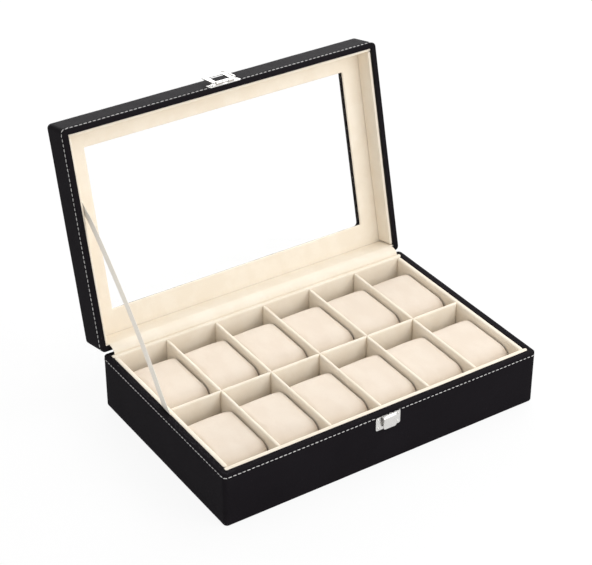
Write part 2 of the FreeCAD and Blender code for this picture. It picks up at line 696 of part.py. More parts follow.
def floor_lining():
    """The velvet-covered card on the bottom of the tray."""
    return centred(TRAY_X - FLOOR_CLEARANCE, TRAY_Y - FLOOR_CLEARANCE, (PANEL_TOP, FLOOR_TOP))


def build():
    """Every piece of the box, by name, with the lid and hasp in the open pose."""
    pieces = {}
    pieces["felt_pad"] = felt_pad()
    pieces["base_bottom_board"] = rounded_block(BOARD_X, BOARD_Y, (FELT_PAD, PANEL_TOP), BOARD_CORNER)
    wall_z = (PANEL_TOP, BASE_HEIGHT - LEATHER)
    walls = carcass(wall_z, INNER_X, INNER_Y, (hinge_room, base_hinge_nails, catch_nails))
    for side, board in walls.items():
        pieces["base_" + side + "_wall"] = board
    pieces["base_cover"] = base_cover()
    pieces["floor_lining"] = floor_lining()
    for side, board in base_liners().items():
        pieces["base_" + side + "_liner"] = board
    pieces["long_divider"] = long_divider()
    for number, place in enumerate(cross_places(), 1):
        pieces["cross_divider_" + str(number)] = cross_divider(place)
    form = cushion_form()
    for number, (x, y) in enumerate(cushion_places(), 1):
        cushion = form.copy()
        cushion.translate(Vector(x, y, 0))
        pieces["cushion_" + str(number)] = cushion
    pieces["clasp_catch"] = clasp_catch()
    pieces["catch_nails"] = catch_nails
    for name, centre in zip(("left", "right"), hinge_centres()):
        pieces["hinge_base_leaf_" + name] = hinge_leaf(centre, -1)
        pieces["hinge_lid_leaf_" + name] = opened(hinge_leaf(centre, 1))
        pieces["hinge_pin_" + name] = hinge_pin(centre)
    pieces["hinge_base_nails"] = base_hinge_nails
    pieces["hinge_lid_nails"] = opened(lid_hinge_nails)
    rail_z = (LID_RIM + LEATHER, LID_BOARD_FOOT)
    rails = carcass(rail_z, LID_INNER_X, LID_INNER_Y, (hinge_room, lid_hinge_nails, hasp_nails))
    for side, board in rails.items():
        pieces["lid_" + side + "_rail"] = opened(board)
    pieces["lid_board"] = opened(lid_board())
    pieces["lid_cover"] = opened(lid_cover())
    pieces["window_glass"] = opened(window_glass())
    pieces["inner_frame"] = opened(inner_frame())
    for side, board in lid_liners().items():
        pieces["lid_" + side + "_liner"] = opened(board)
    pieces["hasp_plate"] = opened(hasp_plate())
    pieces["hasp_nails"] = opened(hasp_nails)
    pieces["hasp_pin"] = opened(hasp_pin())
    pieces["hasp_loop"] = opened(hasp_turned_up())
    pieces["stay_ribbon"] = stay_ribbon()
    pieces["rear_strip"] = rear_strip()
    return pieces


os.makedirs("parts", exist_ok=True)
for node, shape in build().items():
    shape.exportStep("parts/" + node + ".step")
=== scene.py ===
"""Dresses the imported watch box: leather covers, velvet lining, watch cushions and nickel fittings.

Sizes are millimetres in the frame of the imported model: +X to the right, +Y to the back, +Z up, the
origin in the middle of the underside. Points are scaled to metres when a mesh is made.
"""

import json
import logging
import math
from dataclasses import dataclass
from enum import Enum
from typing import Dict, List, Optional, Sequence, Tuple, Union

import bmesh
import bpy
import numpy as np
from mathutils import Matrix, Vector, noise

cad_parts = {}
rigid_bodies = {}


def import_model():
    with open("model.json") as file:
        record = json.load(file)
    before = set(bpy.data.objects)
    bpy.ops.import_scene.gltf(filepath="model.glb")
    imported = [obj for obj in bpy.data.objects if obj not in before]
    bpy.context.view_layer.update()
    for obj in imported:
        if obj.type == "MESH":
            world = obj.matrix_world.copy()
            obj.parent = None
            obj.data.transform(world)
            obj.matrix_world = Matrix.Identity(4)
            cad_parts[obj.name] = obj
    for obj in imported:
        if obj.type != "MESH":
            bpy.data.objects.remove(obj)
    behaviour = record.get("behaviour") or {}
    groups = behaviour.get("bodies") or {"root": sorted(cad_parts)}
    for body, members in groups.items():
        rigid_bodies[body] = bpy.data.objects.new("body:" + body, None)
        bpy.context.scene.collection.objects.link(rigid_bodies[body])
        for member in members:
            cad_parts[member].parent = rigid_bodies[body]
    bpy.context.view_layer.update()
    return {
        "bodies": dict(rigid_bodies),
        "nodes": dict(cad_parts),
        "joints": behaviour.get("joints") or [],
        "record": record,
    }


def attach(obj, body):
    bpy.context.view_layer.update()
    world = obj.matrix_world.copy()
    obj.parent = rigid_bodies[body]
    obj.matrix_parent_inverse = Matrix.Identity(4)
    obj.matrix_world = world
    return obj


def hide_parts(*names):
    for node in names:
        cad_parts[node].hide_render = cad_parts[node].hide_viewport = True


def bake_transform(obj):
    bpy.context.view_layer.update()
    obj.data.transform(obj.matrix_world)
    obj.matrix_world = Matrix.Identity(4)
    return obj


LOG = logging.getLogger("watch_box")
MM = 0.001
WHITE = (1.0, 1.0, 1.0, 1.0)

Node = bpy.types.Node
Socket = bpy.types.NodeSocket
Material = bpy.types.Material
Mesh = bpy.types.Mesh
Piece = bpy.types.Object
Colour = Tuple[float, float, float]
Spot = Tuple[float, float, float]
Flat = Tuple[float, float]
Faces = List[Tuple[int, ...]]
Profile = List[Spot]


class Body(str, Enum):
    """The moving bodies of the box."""

    BASE = "base"
    LID = "lid"
    HASP = "hasp"


class Run(Enum):
    """The axis that a board runs along."""

    ALONG_X = 0
    ALONG_Y = 1


class Slot(str, Enum):
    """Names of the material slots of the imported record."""

    LEATHER = "black_leather"
    VELVET = "cream_velvet"
    CUSHION = "cushion_velvet"
    FELT = "black_felt"
    RIBBON = "cream_ribbon"
    NICKEL = "nickel"


class Tone:
    """A shader value: arithmetic on it adds Math nodes to its tree."""

    def __init__(self, desk: "ShaderDesk", socket: Socket) -> None:
        """Wrap an output socket of a desk's tree."""
        self.desk = desk
        self.socket = socket

    def _math(self, operation: str, first: "Value", second: "Value" = 0.0) -> "Tone":
        """Add one Math node and wrap its result."""
        return self.desk.tone("ShaderNodeMath", {"operation": operation}, {0: first, 1: second})

    def __add__(self, other: "Value") -> "Tone":
        """Add a value."""
        return self._math("ADD", self, other)

    def __radd__(self, other: "Value") -> "Tone":
        """Add to a value."""
        return self._math("ADD", other, self)

    def __sub__(self, other: "Value") -> "Tone":
        """Take a value away."""
        return self._math("SUBTRACT", self, other)

    def __rsub__(self, other: "Value") -> "Tone":
        """Take from a value."""
        return self._math("SUBTRACT", other, self)

    def __mul__(self, other: "Value") -> "Tone":
        """Multiply by a value."""
        return self._math("MULTIPLY", self, other)

    def __rmul__(self, other: "Value") -> "Tone":
        """Multiply a value."""
        return self._math("MULTIPLY", other, self)

    def highest(self, other: "Value") -> "Tone":
        """The higher of this and another value."""
        return self._math("MAXIMUM", self, other)

    def sine(self) -> "Tone":
        """The sine of this value in radians."""
        return self._math("SINE", self)

    def fraction(self) -> "Tone":
        """What is left of this value above a whole number."""
        return self._math("FRACT", self)

    def size(self) -> "Tone":
        """This value without its sign."""
        return self._math("ABSOLUTE", self)

    def between(self, low: float, high: float) -> "Tone":
        """A soft step from 0 at low to 1 at high."""
        inputs = {"Value": self, "From Min": low, "From Max": high}
        return self.desk.tone("ShaderNodeMapRange", {"interpolation_type": "SMOOTHSTEP"}, inputs, "Result")


Value = Union[Tone, float]


class NodeTable:
    """Adds nodes to one node tree."""

    def __init__(self, tree: bpy.types.NodeTree) -> None:
        """Start from an empty tree."""
        self.tree = tree
        tree.nodes.clear()

    def node(self, kind: str, settings: Optional[dict] = None, inputs: Optional[dict] = None) -> Node:
        """Add any node.

        Args:
            kind: The node's type.
            settings: Properties of the node, which are set first.
            inputs: Values, tones or sockets by socket name or index.

        Returns:
            The new node.
        """
        made = self.tree.nodes.new(kind)
        for name, value in (settings or {}).items():
            setattr(made, name, value)
        for key, value in (inputs or {}).items():
            source = value.socket if isinstance(value, Tone) else value
            if isinstance(source, Socket):
                self.tree.links.new(source, made.inputs[key])
            else:
                made.inputs[key].default_value = source
        return made

    def socket(self, kind: str, settings: Optional[dict] = None, inputs: Optional[dict] = None,
               output: Union[int, str] = 0) -> Socket:
        """Add a node and give back one of its outputs."""
        return self.node(kind, settings, inputs).outputs[output]


class ShaderDesk(NodeTable):
    """Builds the shader of one material or of the world."""

    def tone(self, kind: str, settings: Optional[dict] = None, inputs: Optional[dict] = None,
             output: Union[int, str] = 0) -> Tone:
        """Add a node and wrap one of its outputs."""
        return Tone(self, self.socket(kind, settings, inputs, output))

    def place(self) -> Socket:
        """Object coordinates in metres."""
        return self.socket("ShaderNodeTexCoord", output="Object")

    def stretched(self, scale: Spot) -> Socket:
        """Object coordinates scaled along each axis."""
        return self.socket("ShaderNodeMapping", None, {"Vector": self.place(), "Scale": scale})

    def axis(self, vector: Socket, index: int) -> Tone:
        """One coordinate of a vector."""
        return self.tone("ShaderNodeSeparateXYZ", None, {0: vector}, index)

    def cloud(self, size_mm: float, detail: float = 2.0, roughness: float = 0.5,
              vector: Optional[Socket] = None) -> Tone:
        """Noise whose blotches are about a given size.

        Args:
            size_mm: Size of a blotch in millimetres.
            detail: Octaves of detail.
            roughness: Weight of the finer octaves.
            vector: Coordinates, or none for plain Object coordinates.

        Returns:
            The noise as a value round 0.5.
        """
        inputs = {"Vector": vector or self.place(), "Scale": 1.0 / MM / size_mm, "Detail": detail,
                  "Roughness": roughness}
        return self.tone("ShaderNodeTexNoise", None, inputs)

    def mix(self, factor: Value, first: Union[Colour, Socket], second: Union[Colour, Socket]) -> Socket:
        """Mix two colours.

        Args:
            factor: Share of the second colour.
            first: The first colour.
            second: The second colour.

        Returns:
            The mixed colour.
        """
        colours = [(*c, 1.0) if isinstance(c, tuple) else c for c in (first, second)]
        inputs = {0: factor, 6: colours[0], 7: colours[1]}
        return self.socket("ShaderNodeMix", {"data_type": "RGBA"}, inputs, 2)

    def bump(self, height: Tone, depth_mm: float, strength: float) -> Socket:
        """Turn a height of 0 to 1 into a normal."""
        inputs = {"Height": height, "Distance": depth_mm * MM, "Strength": strength}
        return self.socket("ShaderNodeBump", None, inputs)

    def principled(self, **inputs: object) -> Socket:
        """Add a Principled shader, its sockets named with underscores."""
        named = {key.replace("_", " "): value for key, value in inputs.items()}
        return self.socket("ShaderNodeBsdfPrincipled", None, named)

    def either(self, share: Value, first: Socket, second: Socket) -> Socket:
        """Mix two shaders by a value."""
        return self.socket("ShaderNodeMixShader", None, {0: share, 1: first, 2: second})

    def seen(self) -> Tone:
        """Tell rays that end in the picture from those that only carry light.

        Returns:
            1 for camera, glossy and transmission rays, 0 for the rest.
        """
        path = self.node("ShaderNodeLightPath")
        camera, glossy, through = (Tone(self, path.outputs[f"Is {ray} Ray"])
                                   for ray in ("Camera", "Glossy", "Transmission"))
        return camera.highest(glossy).highest(through)


def scaled(colour: Colour, *factors: float) -> Colour:
    """A colour times one factor, or times one for each channel."""
    return tuple(c * k for c, k in zip(colour, factors if len(factors) == 3 else factors * 3))


@dataclass(frozen=True)
class Finish:
    """A procedural material; each kind paints its own nodes."""

    name: str

    def build(self) -> Material:
        """Make the material.

        Returns:
            The material with its nodes.
        """
        material = bpy.data.materials.new(self.name)
        material.use_nodes = True
        desk = ShaderDesk(material.node_tree)
        desk.node("ShaderNodeOutputMaterial", None, {"Surface": self.paint(desk)})
        return material

    def paint(self, desk: ShaderDesk) -> Socket:
        """Add the finish's nodes.

        Args:
            desk: The desk of its material.

        Returns:
            The shader.
        """
        raise NotImplementedError


@dataclass(frozen=True)
class LeatherFinish(Finish):
    """Pebbled black leatherette, a little polished along its edges."""

    colour: Colour = (0.0092, 0.0080, 0.0096)
    worn: Colour = (0.016, 0.0152, 0.0168)
    pebble_mm: float = 1.05
    depth_mm: float = 0.09
    warp: float = 0.00045
    gloss: float = 0.007

    def paint(self, desk: ShaderDesk) -> Socket:
        """Pebbles from a warped cell pattern, with fine pores and worn edges.

        Args:
            desk: The desk of its material.

        Returns:
            The shader.
        """
        place = {"Vector": desk.place(), "Scale": 420.0, "Detail": 1.0}
        warp = desk.socket("ShaderNodeTexNoise", None, place, "Color")
        drift = {0: self.warp, 4: desk.place(), 5: warp}
        bent = desk.socket("ShaderNodeMix", {"data_type": "VECTOR"}, drift, 1)
        pattern = {"Vector": bent, "Scale": 1.0 / MM / self.pebble_mm, "Smoothness": 0.35}
        cells = desk.tone("ShaderNodeTexVoronoi", {"feature": "SMOOTH_F1"}, pattern, "Distance")
        pebble = 1.0 - cells.between(0.15, 0.75)
        pores = desk.cloud(0.35, 3.0, 0.6)
        wear = desk.tone("ShaderNodeAttribute", {"attribute_name": "wear"}, output="Fac")
        worn = wear * desk.cloud(9.0, 3.0, 0.6).between(0.35, 0.7)
        shade = desk.mix(desk.cloud(30.0), self.colour, scaled(self.colour, 1.35))
        base = desk.mix(worn * 0.8, shade, self.worn)
        rough = 0.50 + pores * 0.10 - pebble * 0.08 - worn * 0.12
        normal = desk.bump(pebble * 0.75 + pores * 0.25, self.depth_mm, 0.9)
        return desk.principled(Base_Color=base, Roughness=rough, Normal=normal,
                               Specular_IOR_Level=self.gloss)


@dataclass(frozen=True)
class VelvetFinish(Finish):
    """Short-pile velvet whose nap lies a little unevenly."""

    colour: Colour = (0.845, 0.762, 0.638)
    brushed: Colour = (0.875, 0.802, 0.687)
    pile_mm: float = 0.32
    sheen: float = 0.25

    def paint(self, desk: ShaderDesk) -> Socket:
        """Pile as fine noise, nap as broad streaks in the colour and the roughness.

        Args:
            desk: The desk of its material.

        Returns:
            The shader.
        """
        nap = desk.cloud(16.0, 3.0, 0.55, desk.stretched((1.0, 0.55, 0.8)))
        streak = desk.cloud(2.6, 3.0, 0.6)
        pile = desk.cloud(self.pile_mm, 2.0, 0.65)
        brushed = (nap.between(0.32, 0.68) * 0.7 + streak * 0.3).between(0.1, 0.95)
        base = desk.mix(brushed, self.colour, self.brushed)
        deep = scaled(self.colour, 0.92, 0.89, 0.85)
        # any painted shade of the finish goes onto the colour last
        base = self.painted_shade(desk, desk.mix((1.0 - pile.between(0.25, 0.6)) * 0.35, base, deep))
        normal = desk.bump(pile * 0.8 + streak * 0.2, 0.10, 0.55)
        return desk.principled(Base_Color=base, Roughness=0.86 + pile * 0.1, Normal=normal,
                               Specular_IOR_Level=0.12, Sheen_Weight=self.sheen, Sheen_Roughness=0.42,
                               Sheen_Tint=(0.95, 0.88, 0.78, 1.0))

    def painted_shade(self, desk: ShaderDesk, base: Socket) -> Socket:
        """Paint shade onto parts of the cloth; plain velvet gets none."""
        return base


@dataclass(frozen=True)
class CushionFinish(VelvetFinish):
    """Velvet with painted shade on its flanks: a dark line that stands in for the shadow in the gap beside
    each cushion.
    """

    # the painted shade is full from flank outwards and fades in over the short step before it
    pitch: float = 0.0495
    flank: float = 0.0219
    shade_step: float = 0.0004

    def painted_shade(self, desk: ShaderDesk, base: Socket) -> Socket:
        """Paint shade on the flanks, past a distance that repeats from one compartment to the next, to stand
        in for the shadow in the gap beside each cushion.

        Args:
            desk: The desk of its material.
            base: The velvet's colour.

        Returns:
            The colour with painted shade on the flanks.
        """
        across = desk.axis(desk.place(), 0)
        off = ((across * (1.0 / self.pitch)).fraction() - 0.5).size() * self.pitch
        side = off.between(self.flank - self.shade_step, self.flank)
        # painted shade: the flanks go dark brown to stand in for the shadow in the gap beside each cushion
        return desk.mix(side * 0.95, base, scaled(self.colour, 0.32, 0.27, 0.22))


@dataclass(frozen=True)
class NickelFinish(Finish):
    """Bright nickel plate with fine polishing lines and a few dull spots."""

    colour: Colour = (0.70, 0.69, 0.67)

    def paint(self, desk: ShaderDesk) -> Socket:
        """Polishing lines in the bump and roughness, clouds in the colour.

        Args:
            desk: The desk of its material.

        Returns:
            The shader.
        """
        lines = desk.cloud(0.22, 2.0, 0.6, desk.stretched((0.08, 1.0, 1.0)))
        dull = desk.cloud(3.2, 3.0, 0.6).between(0.45, 0.8)
        base = desk.mix(dull * 0.45, self.colour, scaled(self.colour, 0.86))
        rough = 0.20 + lines * 0.07 + dull * 0.10
        normal = desk.bump(lines, 0.012, 0.5)
        return desk.principled(Base_Color=base, Metallic=1.0, Roughness=rough, Normal=normal)


@dataclass(frozen=True)
class ThreadFinish(Finish):
    """Pale grey sewing thread with its twist."""

    colour: Colour = (0.76, 0.75, 0.735)

    def paint(self, desk: ShaderDesk) -> Socket:
        """Twist and fluff as fine noise.

        Args:
            desk: The desk of its material.

        Returns:
            The shader.
        """
        ply = desk.cloud(0.45, 2.0, 0.6)
        base = desk.mix(ply.between(0.3, 0.7), scaled(self.colour, 0.72), self.colour)
        return desk.principled(Base_Color=base, Roughness=0.62 + ply * 0.2, Normal=desk.bump(ply, 0.08, 0.6),
                               Specular_IOR_Level=0.25)


@dataclass(frozen=True)
class RibbonFinish(Finish):
    """Cream satin ribbon with fine ribs across it and firm selvedges."""

    colour: Colour = (0.97, 0.91, 0.81)
    rib_mm: float = 0.55
    selvedge: Flat = (0.0036, 0.0041)

    def paint(self, desk: ShaderDesk) -> Socket:
        """Ribs along the strap's own UV map, which is in metres.

        Args:
            desk: The desk of its material.

        Returns:
            The shader.
        """
        weave = desk.socket("ShaderNodeUVMap", {"uv_map": "weave"})
        rib = (desk.axis(weave, 0) * (2.0 * math.pi / (self.rib_mm * MM))).sine() * 0.5 + 0.5
        edge = desk.axis(weave, 1).size().between(*self.selvedge)
        fibre = desk.cloud(0.25, 2.0, 0.6)
        base = desk.mix(rib * 0.5 + fibre * 0.3, scaled(self.colour, 0.88), self.colour)
        base = desk.mix(edge * 0.5, base, scaled(self.colour, 0.90))
        normal = desk.bump(rib * 0.6 + fibre * 0.4, 0.06, 0.6)
        return desk.principled(Base_Color=base, Roughness=0.48 + fibre * 0.15, Normal=normal,
                               Specular_IOR_Level=0.3, Sheen_Weight=0.2, Sheen_Roughness=0.4)


@dataclass(frozen=True)
class FeltFinish(Finish):
    """Pressed black felt with stray fibres."""

    colour: Colour = (0.011, 0.011, 0.012)

    def paint(self, desk: ShaderDesk) -> Socket:
        """Fibres as stretched noise in two directions.

        Args:
            desk: The desk of its material.

        Returns:
            The shader.
        """
        lies = ((0.25, 1.0, 1.0), (1.0, 0.25, 1.0))
        one, two = (desk.cloud(0.5, 3.0, 0.7, desk.stretched(lie)) for lie in lies)
        fibre = one.highest(two)
        base = desk.mix(fibre.between(0.45, 0.75), self.colour, scaled(self.colour, 3.0))
        return desk.principled(Base_Color=base, Roughness=0.92 + fibre * 0.06,
                               Normal=desk.bump(fibre, 0.15, 0.8), Specular_IOR_Level=0.1,
                               Sheen_Weight=0.15, Sheen_Roughness=0.5)


@dataclass(frozen=True)
class CardFinish(Finish):
    """Dark fibre board of the carcass."""

    colour: Colour = (0.022, 0.019, 0.017)

    def paint(self, desk: ShaderDesk) -> Socket:
        """Pressed fibres and specks.

        Args:
            desk: The desk of its material.

        Returns:
            The shader.
        """
        fibre = desk.cloud(0.9, 4.0, 0.65, desk.stretched((0.4, 1.0, 1.0)))
        speck = desk.cloud(0.4, 1.0).between(0.62, 0.72)
        base = desk.mix(fibre, scaled(self.colour, 0.8), scaled(self.colour, 1.15))
        base = desk.mix(speck * 0.5, base, scaled(self.colour, 0.55))
        return desk.principled(Base_Color=base, Roughness=0.8 + fibre * 0.1,
                               Normal=desk.bump(fibre, 0.08, 0.6), Specular_IOR_Level=0.2)


@dataclass(frozen=True)
class PaneFinish(Finish):
    """Clear window glass that lets lamp light through."""

    def paint(self, desk: ShaderDesk) -> Socket:
        """Glass for every ray but a shadow ray, with a breath of dust in its roughness.

        Args:
            desk: The desk of its material.

        Returns:
            The shader.
        """
        dust = desk.cloud(14.0, 3.0, 0.6).between(0.5, 0.8)
        glass = desk.principled(Base_Color=(0.998, 1.0, 0.999, 1.0), Roughness=dust * 0.02, IOR=1.2,
                                Transmission_Weight=1.0)
        shadow = desk.tone("ShaderNodeLightPath", output="Is Shadow Ray")
        return desk.either(shadow, glass, desk.socket("ShaderNodeBsdfTransparent"))


@dataclass(frozen=True)
class PaperFinish(Finish):
    """White paper under the box that shows as white and keeps a little of the shadow."""

    white: float = 0.9

    def paint(self, desk: ShaderDesk) -> Socket:
        """Plain paper, mixed with a white glow where it is seen.

        Args:
            desk: The desk of its material.

        Returns:
            The shader.
        """
        paper = desk.principled(Base_Color=(0.93, 0.93, 0.93, 1.0), Roughness=0.9, Specular_IOR_Level=0.1)
        glow = desk.socket("ShaderNodeEmission", None, {"Color": WHITE, "Strength": 1.0})
        return desk.either(desk.seen() * self.white, paper, glow)


class FinishBook:
    """The finishes of the box, each made once."""

    def __init__(self) -> None:
        """Make every material."""
        self.leather = LeatherFinish("leather").build()
        self.velvet = VelvetFinish("lining_velvet").build()
        self.cushion = CushionFinish("pillow_velvet", colour=(0.735, 0.640, 0.540),
                                     brushed=(0.765, 0.677, 0.579), pile_mm=0.28, sheen=0.2).build()
        self.nickel = NickelFinish("nickel_plate").build()
        self.thread = ThreadFinish("thread").build()
        self.ribbon = RibbonFinish("stay_satin").build()
        self.felt = FeltFinish("felt").build()
        self.card = CardFinish("fibre_board").build()
        self.pane = PaneFinish("pane").build()


def make_piece(name: str, points: np.ndarray, faces: Faces, material: Material, sharp: float) -> Piece:
    """Make a closed mesh object from points in millimetres.

    Args:
        name: Name of the piece.
        points: Points in millimetres, one row each.
        faces: Faces as tuples of point indices.
        material: Material of the whole piece.
        sharp: Angle in degrees past which an edge is shaded sharp.

    Returns:
        The object, linked to the scene, its normals pointing out.
    """
    mesh = bpy.data.meshes.new(name)
    mesh.from_pydata((points * MM).tolist(), [], faces)
    piece = link_piece(name, mesh, material)
    work = bmesh.new()
    work.from_mesh(mesh)
    bmesh.ops.recalc_face_normals(work, faces=work.faces)
    work.to_mesh(mesh)
    work.free()
    shade(mesh, sharp)
    return piece


def link_piece(name: str, mesh: Mesh, material: Material) -> Piece:
    """Link a mesh to the scene as an object of one material.

    Args:
        name: Name of the object.
        mesh: Its mesh.
        material: Its one material.

    Returns:
        The object.
    """
    mesh.materials.clear()
    mesh.materials.append(material)
    return link(name, mesh)


def link(name: str, data: bpy.types.ID) -> Piece:
    """Link a new object with the given data to the scene.

    Args:
        name: Name of the object.
        data: Its mesh, curve, lamp or camera.

    Returns:
        The object.
    """
    thing = bpy.data.objects.new(name, data)
    bpy.context.scene.collection.objects.link(thing)
    return thing


def shade(mesh: Mesh, sharp: float) -> None:
    """Shade a mesh smooth up to an angle in degrees."""
    mesh.shade_smooth()
    mesh.set_sharp_from_angle(angle=math.radians(sharp))


def settled_mesh(piece: Piece) -> Mesh:
    """A plain mesh of an object as its modifiers leave it."""
    graph = bpy.context.evaluated_depsgraph_get()
    return bpy.data.meshes.new_from_object(piece.evaluated_get(graph), depsgraph=graph)


def drop(piece: Piece) -> None:
    """Delete a helper object."""
    bpy.data.objects.remove(piece, do_unlink=True)


def dress(piece: Piece, node: str = "", body: str = "") -> None:
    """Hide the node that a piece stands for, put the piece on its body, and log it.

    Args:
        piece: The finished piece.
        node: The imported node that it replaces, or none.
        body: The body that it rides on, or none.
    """
    if node:
        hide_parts(node)
    if body:
        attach(piece, body)
    LOG.info("%s: %d triangles", piece.name, sum(len(p.vertices) - 2 for p in piece.data.polygons))


def point_rows(mesh: Mesh) -> np.ndarray:
    """The points of a mesh.

    Args:
        mesh: The mesh.

    Returns:
        One row per point, in metres.
    """
    flat = np.empty(len(mesh.vertices) * 3)
    mesh.vertices.foreach_get("co", flat)
    return flat.reshape(-1, 3)


def loop_faces(rings: int, around: int, wrap: bool) -> Faces:
    """Faces of a body made of rings of points.

    Args:
        rings: Number of rings.
        around: Points in each ring.
        wrap: Whether the last ring joins the first; if not, both ends are closed.

    Returns:
        Quads between neighbouring rings, and the two ends.
    """
    faces: Faces = []
    for j in range(rings if wrap else rings - 1):
        k = (j + 1) % rings
        for i in range(around):
            n = (i + 1) % around
            faces.append((j * around + i, j * around + n, k * around + n, k * around + i))
    if not wrap:
        faces += [tuple(range(around)), tuple(range((rings - 1) * around, rings * around))]
    return faces


def bend(centre: Flat, radius: float, start: float, end: float, steps: int, mark: float = 0.0) -> Profile:
    """Points of a round corner in a profile.

    Args:
        centre: Middle of the corner as (inset, height).
        radius: Radius of the corner.
        start: Start angle in degrees.
        end: End angle in degrees.
        steps: Number of steps.
        mark: Wear at the middle of the corner.

    Returns:
        Profile points with their wear.
    """
    points = []
    for i in range(steps + 1):
        angle = math.radians(start + (end - start) * i / steps)
        worn = mark * math.sin(math.pi * i / steps)
        points.append((centre[0] + radius * math.cos(angle), centre[1] + radius * math.sin(angle), worn))
    return points


def straight(start: Flat, end: Flat, steps: int) -> Profile:
    """Points of a straight run in a profile, without its two ends."""
    return [(start[0] + (end[0] - start[0]) * i / steps, start[1] + (end[1] - start[1]) * i / steps, 0.0)
            for i in range(1, steps)]


def ripple(point: Sequence[float], size: float, seed: float) -> float:
    """Smooth noise from -1 to 1 at a point in millimetres."""
    x, y, z = point
    return noise.noise(Vector((x / size + seed, y / size - seed, z / size + 2.0 * seed)))


def ripples(points: Sequence[Sequence[float]], *waves: Spot) -> np.ndarray:
    """The sum of some ripples at every point, each wave given as (size, seed, height)."""
    return np.array([sum(ripple(p, size, seed) * high for size, seed, high in waves) for p in points])


def level(flat: np.ndarray, height: float) -> np.ndarray:
    """Lift (x, y) rows to one height."""
    return np.column_stack([flat, np.full(len(flat), height)])


@dataclass(frozen=True)
class RingGrid:
    """How a rounded rectangle is divided into points."""

    corner: int = 8
    long_side: int = 64
    short_side: int = 40

    def points(self, half_x: float, half_y: float, radius: float) -> np.ndarray:
        """Points round the rectangle, counter-clockwise from above.

        Args:
            half_x: Half of its size along X.
            half_y: Half of its size along Y.
            radius: Radius of its corners.

        Returns:
            One (x, y) row per point.
        """
        corners = [(1, -1, -90.0), (1, 1, 0.0), (-1, 1, 90.0), (-1, -1, 180.0)]
        arcs = []
        for sign_x, sign_y, start in corners:
            angle = np.radians(start + np.linspace(0.0, 90.0, self.corner + 1))
            middle = np.array([sign_x * (half_x - radius), sign_y * (half_y - radius)])
            arcs.append(middle + radius * np.column_stack([np.cos(angle), np.sin(angle)]))
        found = []
        for index, arc in enumerate(arcs):
            steps = self.long_side if index % 2 else self.short_side
            share = np.linspace(0.0, 1.0, steps + 1)[1:-1, None]
            found += [arc, arc[-1] * (1 - share) + arcs[(index + 1) % 4][0] * share]
        return np.concatenate(found)


@dataclass(frozen=True)
class BoxSizes:
    """Sizes that the sub-assemblies share."""

    half_width: float = 157.0
    half_depth: float = 100.0
    base_height: float = 52.0
    lid_rim: float = 52.6
    lid_top: float = 83.6
    corner: float = 4.0
    rim_round: float = 0.9
    inner_x: float = 151.8
    inner_y: float = 94.8
    tray_x: float = 147.0
    tray_y: float = 90.0
    lid_inner_x: float = 152.1
    lid_inner_y: float = 95.1
    window_x: float = 132.7
    window_y: float = 75.7
    window_corner: float = 4.0
    pitch: float = 49.5
    across: int = 6
    floor_top: float = 6.7
    hinge_x: float = 95.0
    hinge_half: float = 14.0
    hinge_y: float = 100.4
    hinge_z: float = 52.3
    lid_open: float = 103.3

    def opened(self, points: np.ndarray) -> np.ndarray:
        """Turn points of the closed lid to where the lid stands open.

        Args:
            points: Points in millimetres, one row each.

        Returns:
            The turned points.
        """
        angle = math.radians(self.lid_open)
        dy = points[:, 1] - self.hinge_y
        dz = points[:, 2] - self.hinge_z
        turned = points.copy()
        turned[:, 1] = self.hinge_y + dy * math.cos(angle) + dz * math.sin(angle)
        turned[:, 2] = self.hinge_z + dz * math.cos(angle) - dy * math.sin(angle)
        return turned


BOX = BoxSizes()


class NodeRecipe(NodeTable):
    """A Geometry Nodes tree with named inputs, run once on a helper mesh."""

    def __init__(self, name: str, numbers: Sequence[str]) -> None:
        """Start a tree.

        Args:
            name: Name of the tree.
            numbers: Names of its number inputs.
        """
        super().__init__(bpy.data.node_groups.new(name, "GeometryNodeTree"))
        kinds = {"Geometry": "Geometry", **{number: "Float" for number in numbers}, "Material": "Material"}
        face = self.tree.interface
        self.keys = {key: face.new_socket(key, in_out="INPUT", socket_type="NodeSocket" + kind).identifier
                     for key, kind in kinds.items()}
        face.new_socket("Geometry", in_out="OUTPUT", socket_type="NodeSocketGeometry")
        self.entry = self.node("NodeGroupInput")

    def lay(self, points: Socket, segments: int, rings: int, rotation: Socket, scale: Socket) -> None:
        """Lay a sphere on every point and end the tree in real, smooth geometry with its material.

        Args:
            points: The points.
            segments: Segments round the sphere.
            rings: Rings of the sphere.
            rotation: How each sphere is turned.
            scale: How each sphere of width 1 is stretched.
        """
        sphere = {"Segments": segments, "Rings": rings, "Radius": 0.5}
        grain = self.socket("GeometryNodeMeshUVSphere", None, sphere)
        laid = {"Points": points, "Instance": grain, "Rotation": rotation, "Scale": scale}
        form = self.socket("GeometryNodeInstanceOnPoints", None, laid)
        for kind in ("SetShadeSmooth", "RealizeInstances"):
            form = self.socket("GeometryNode" + kind, None, {"Geometry": form})
        paint = {"Geometry": form, "Material": self.entry.outputs["Material"]}
        self.node("NodeGroupOutput", None, {0: self.socket("GeometryNodeSetMaterial", None, paint)})

    def run(self, name: str, carrier: Mesh, material: Material, **numbers: float) -> Piece:
        """Run the tree on a mesh and keep the result as a plain mesh object.

        Args:
            name: Name of the new piece.
            carrier: Mesh of the points or edges that carry the repeats.
            material: Material of the result.
            numbers: Values of the number inputs in millimetres.

        Returns:
            The new object.
        """
        helper = link(name + "_carrier", carrier)
        step = helper.modifiers.new("repeat", "NODES")
        step.node_group = self.tree
        step[self.keys["Material"]] = material
        for key, value in numbers.items():
            step[self.keys[key.title()]] = value * MM
        mesh = settled_mesh(helper)
        mesh.name = name
        drop(helper)
        return link_piece(name, mesh, material)


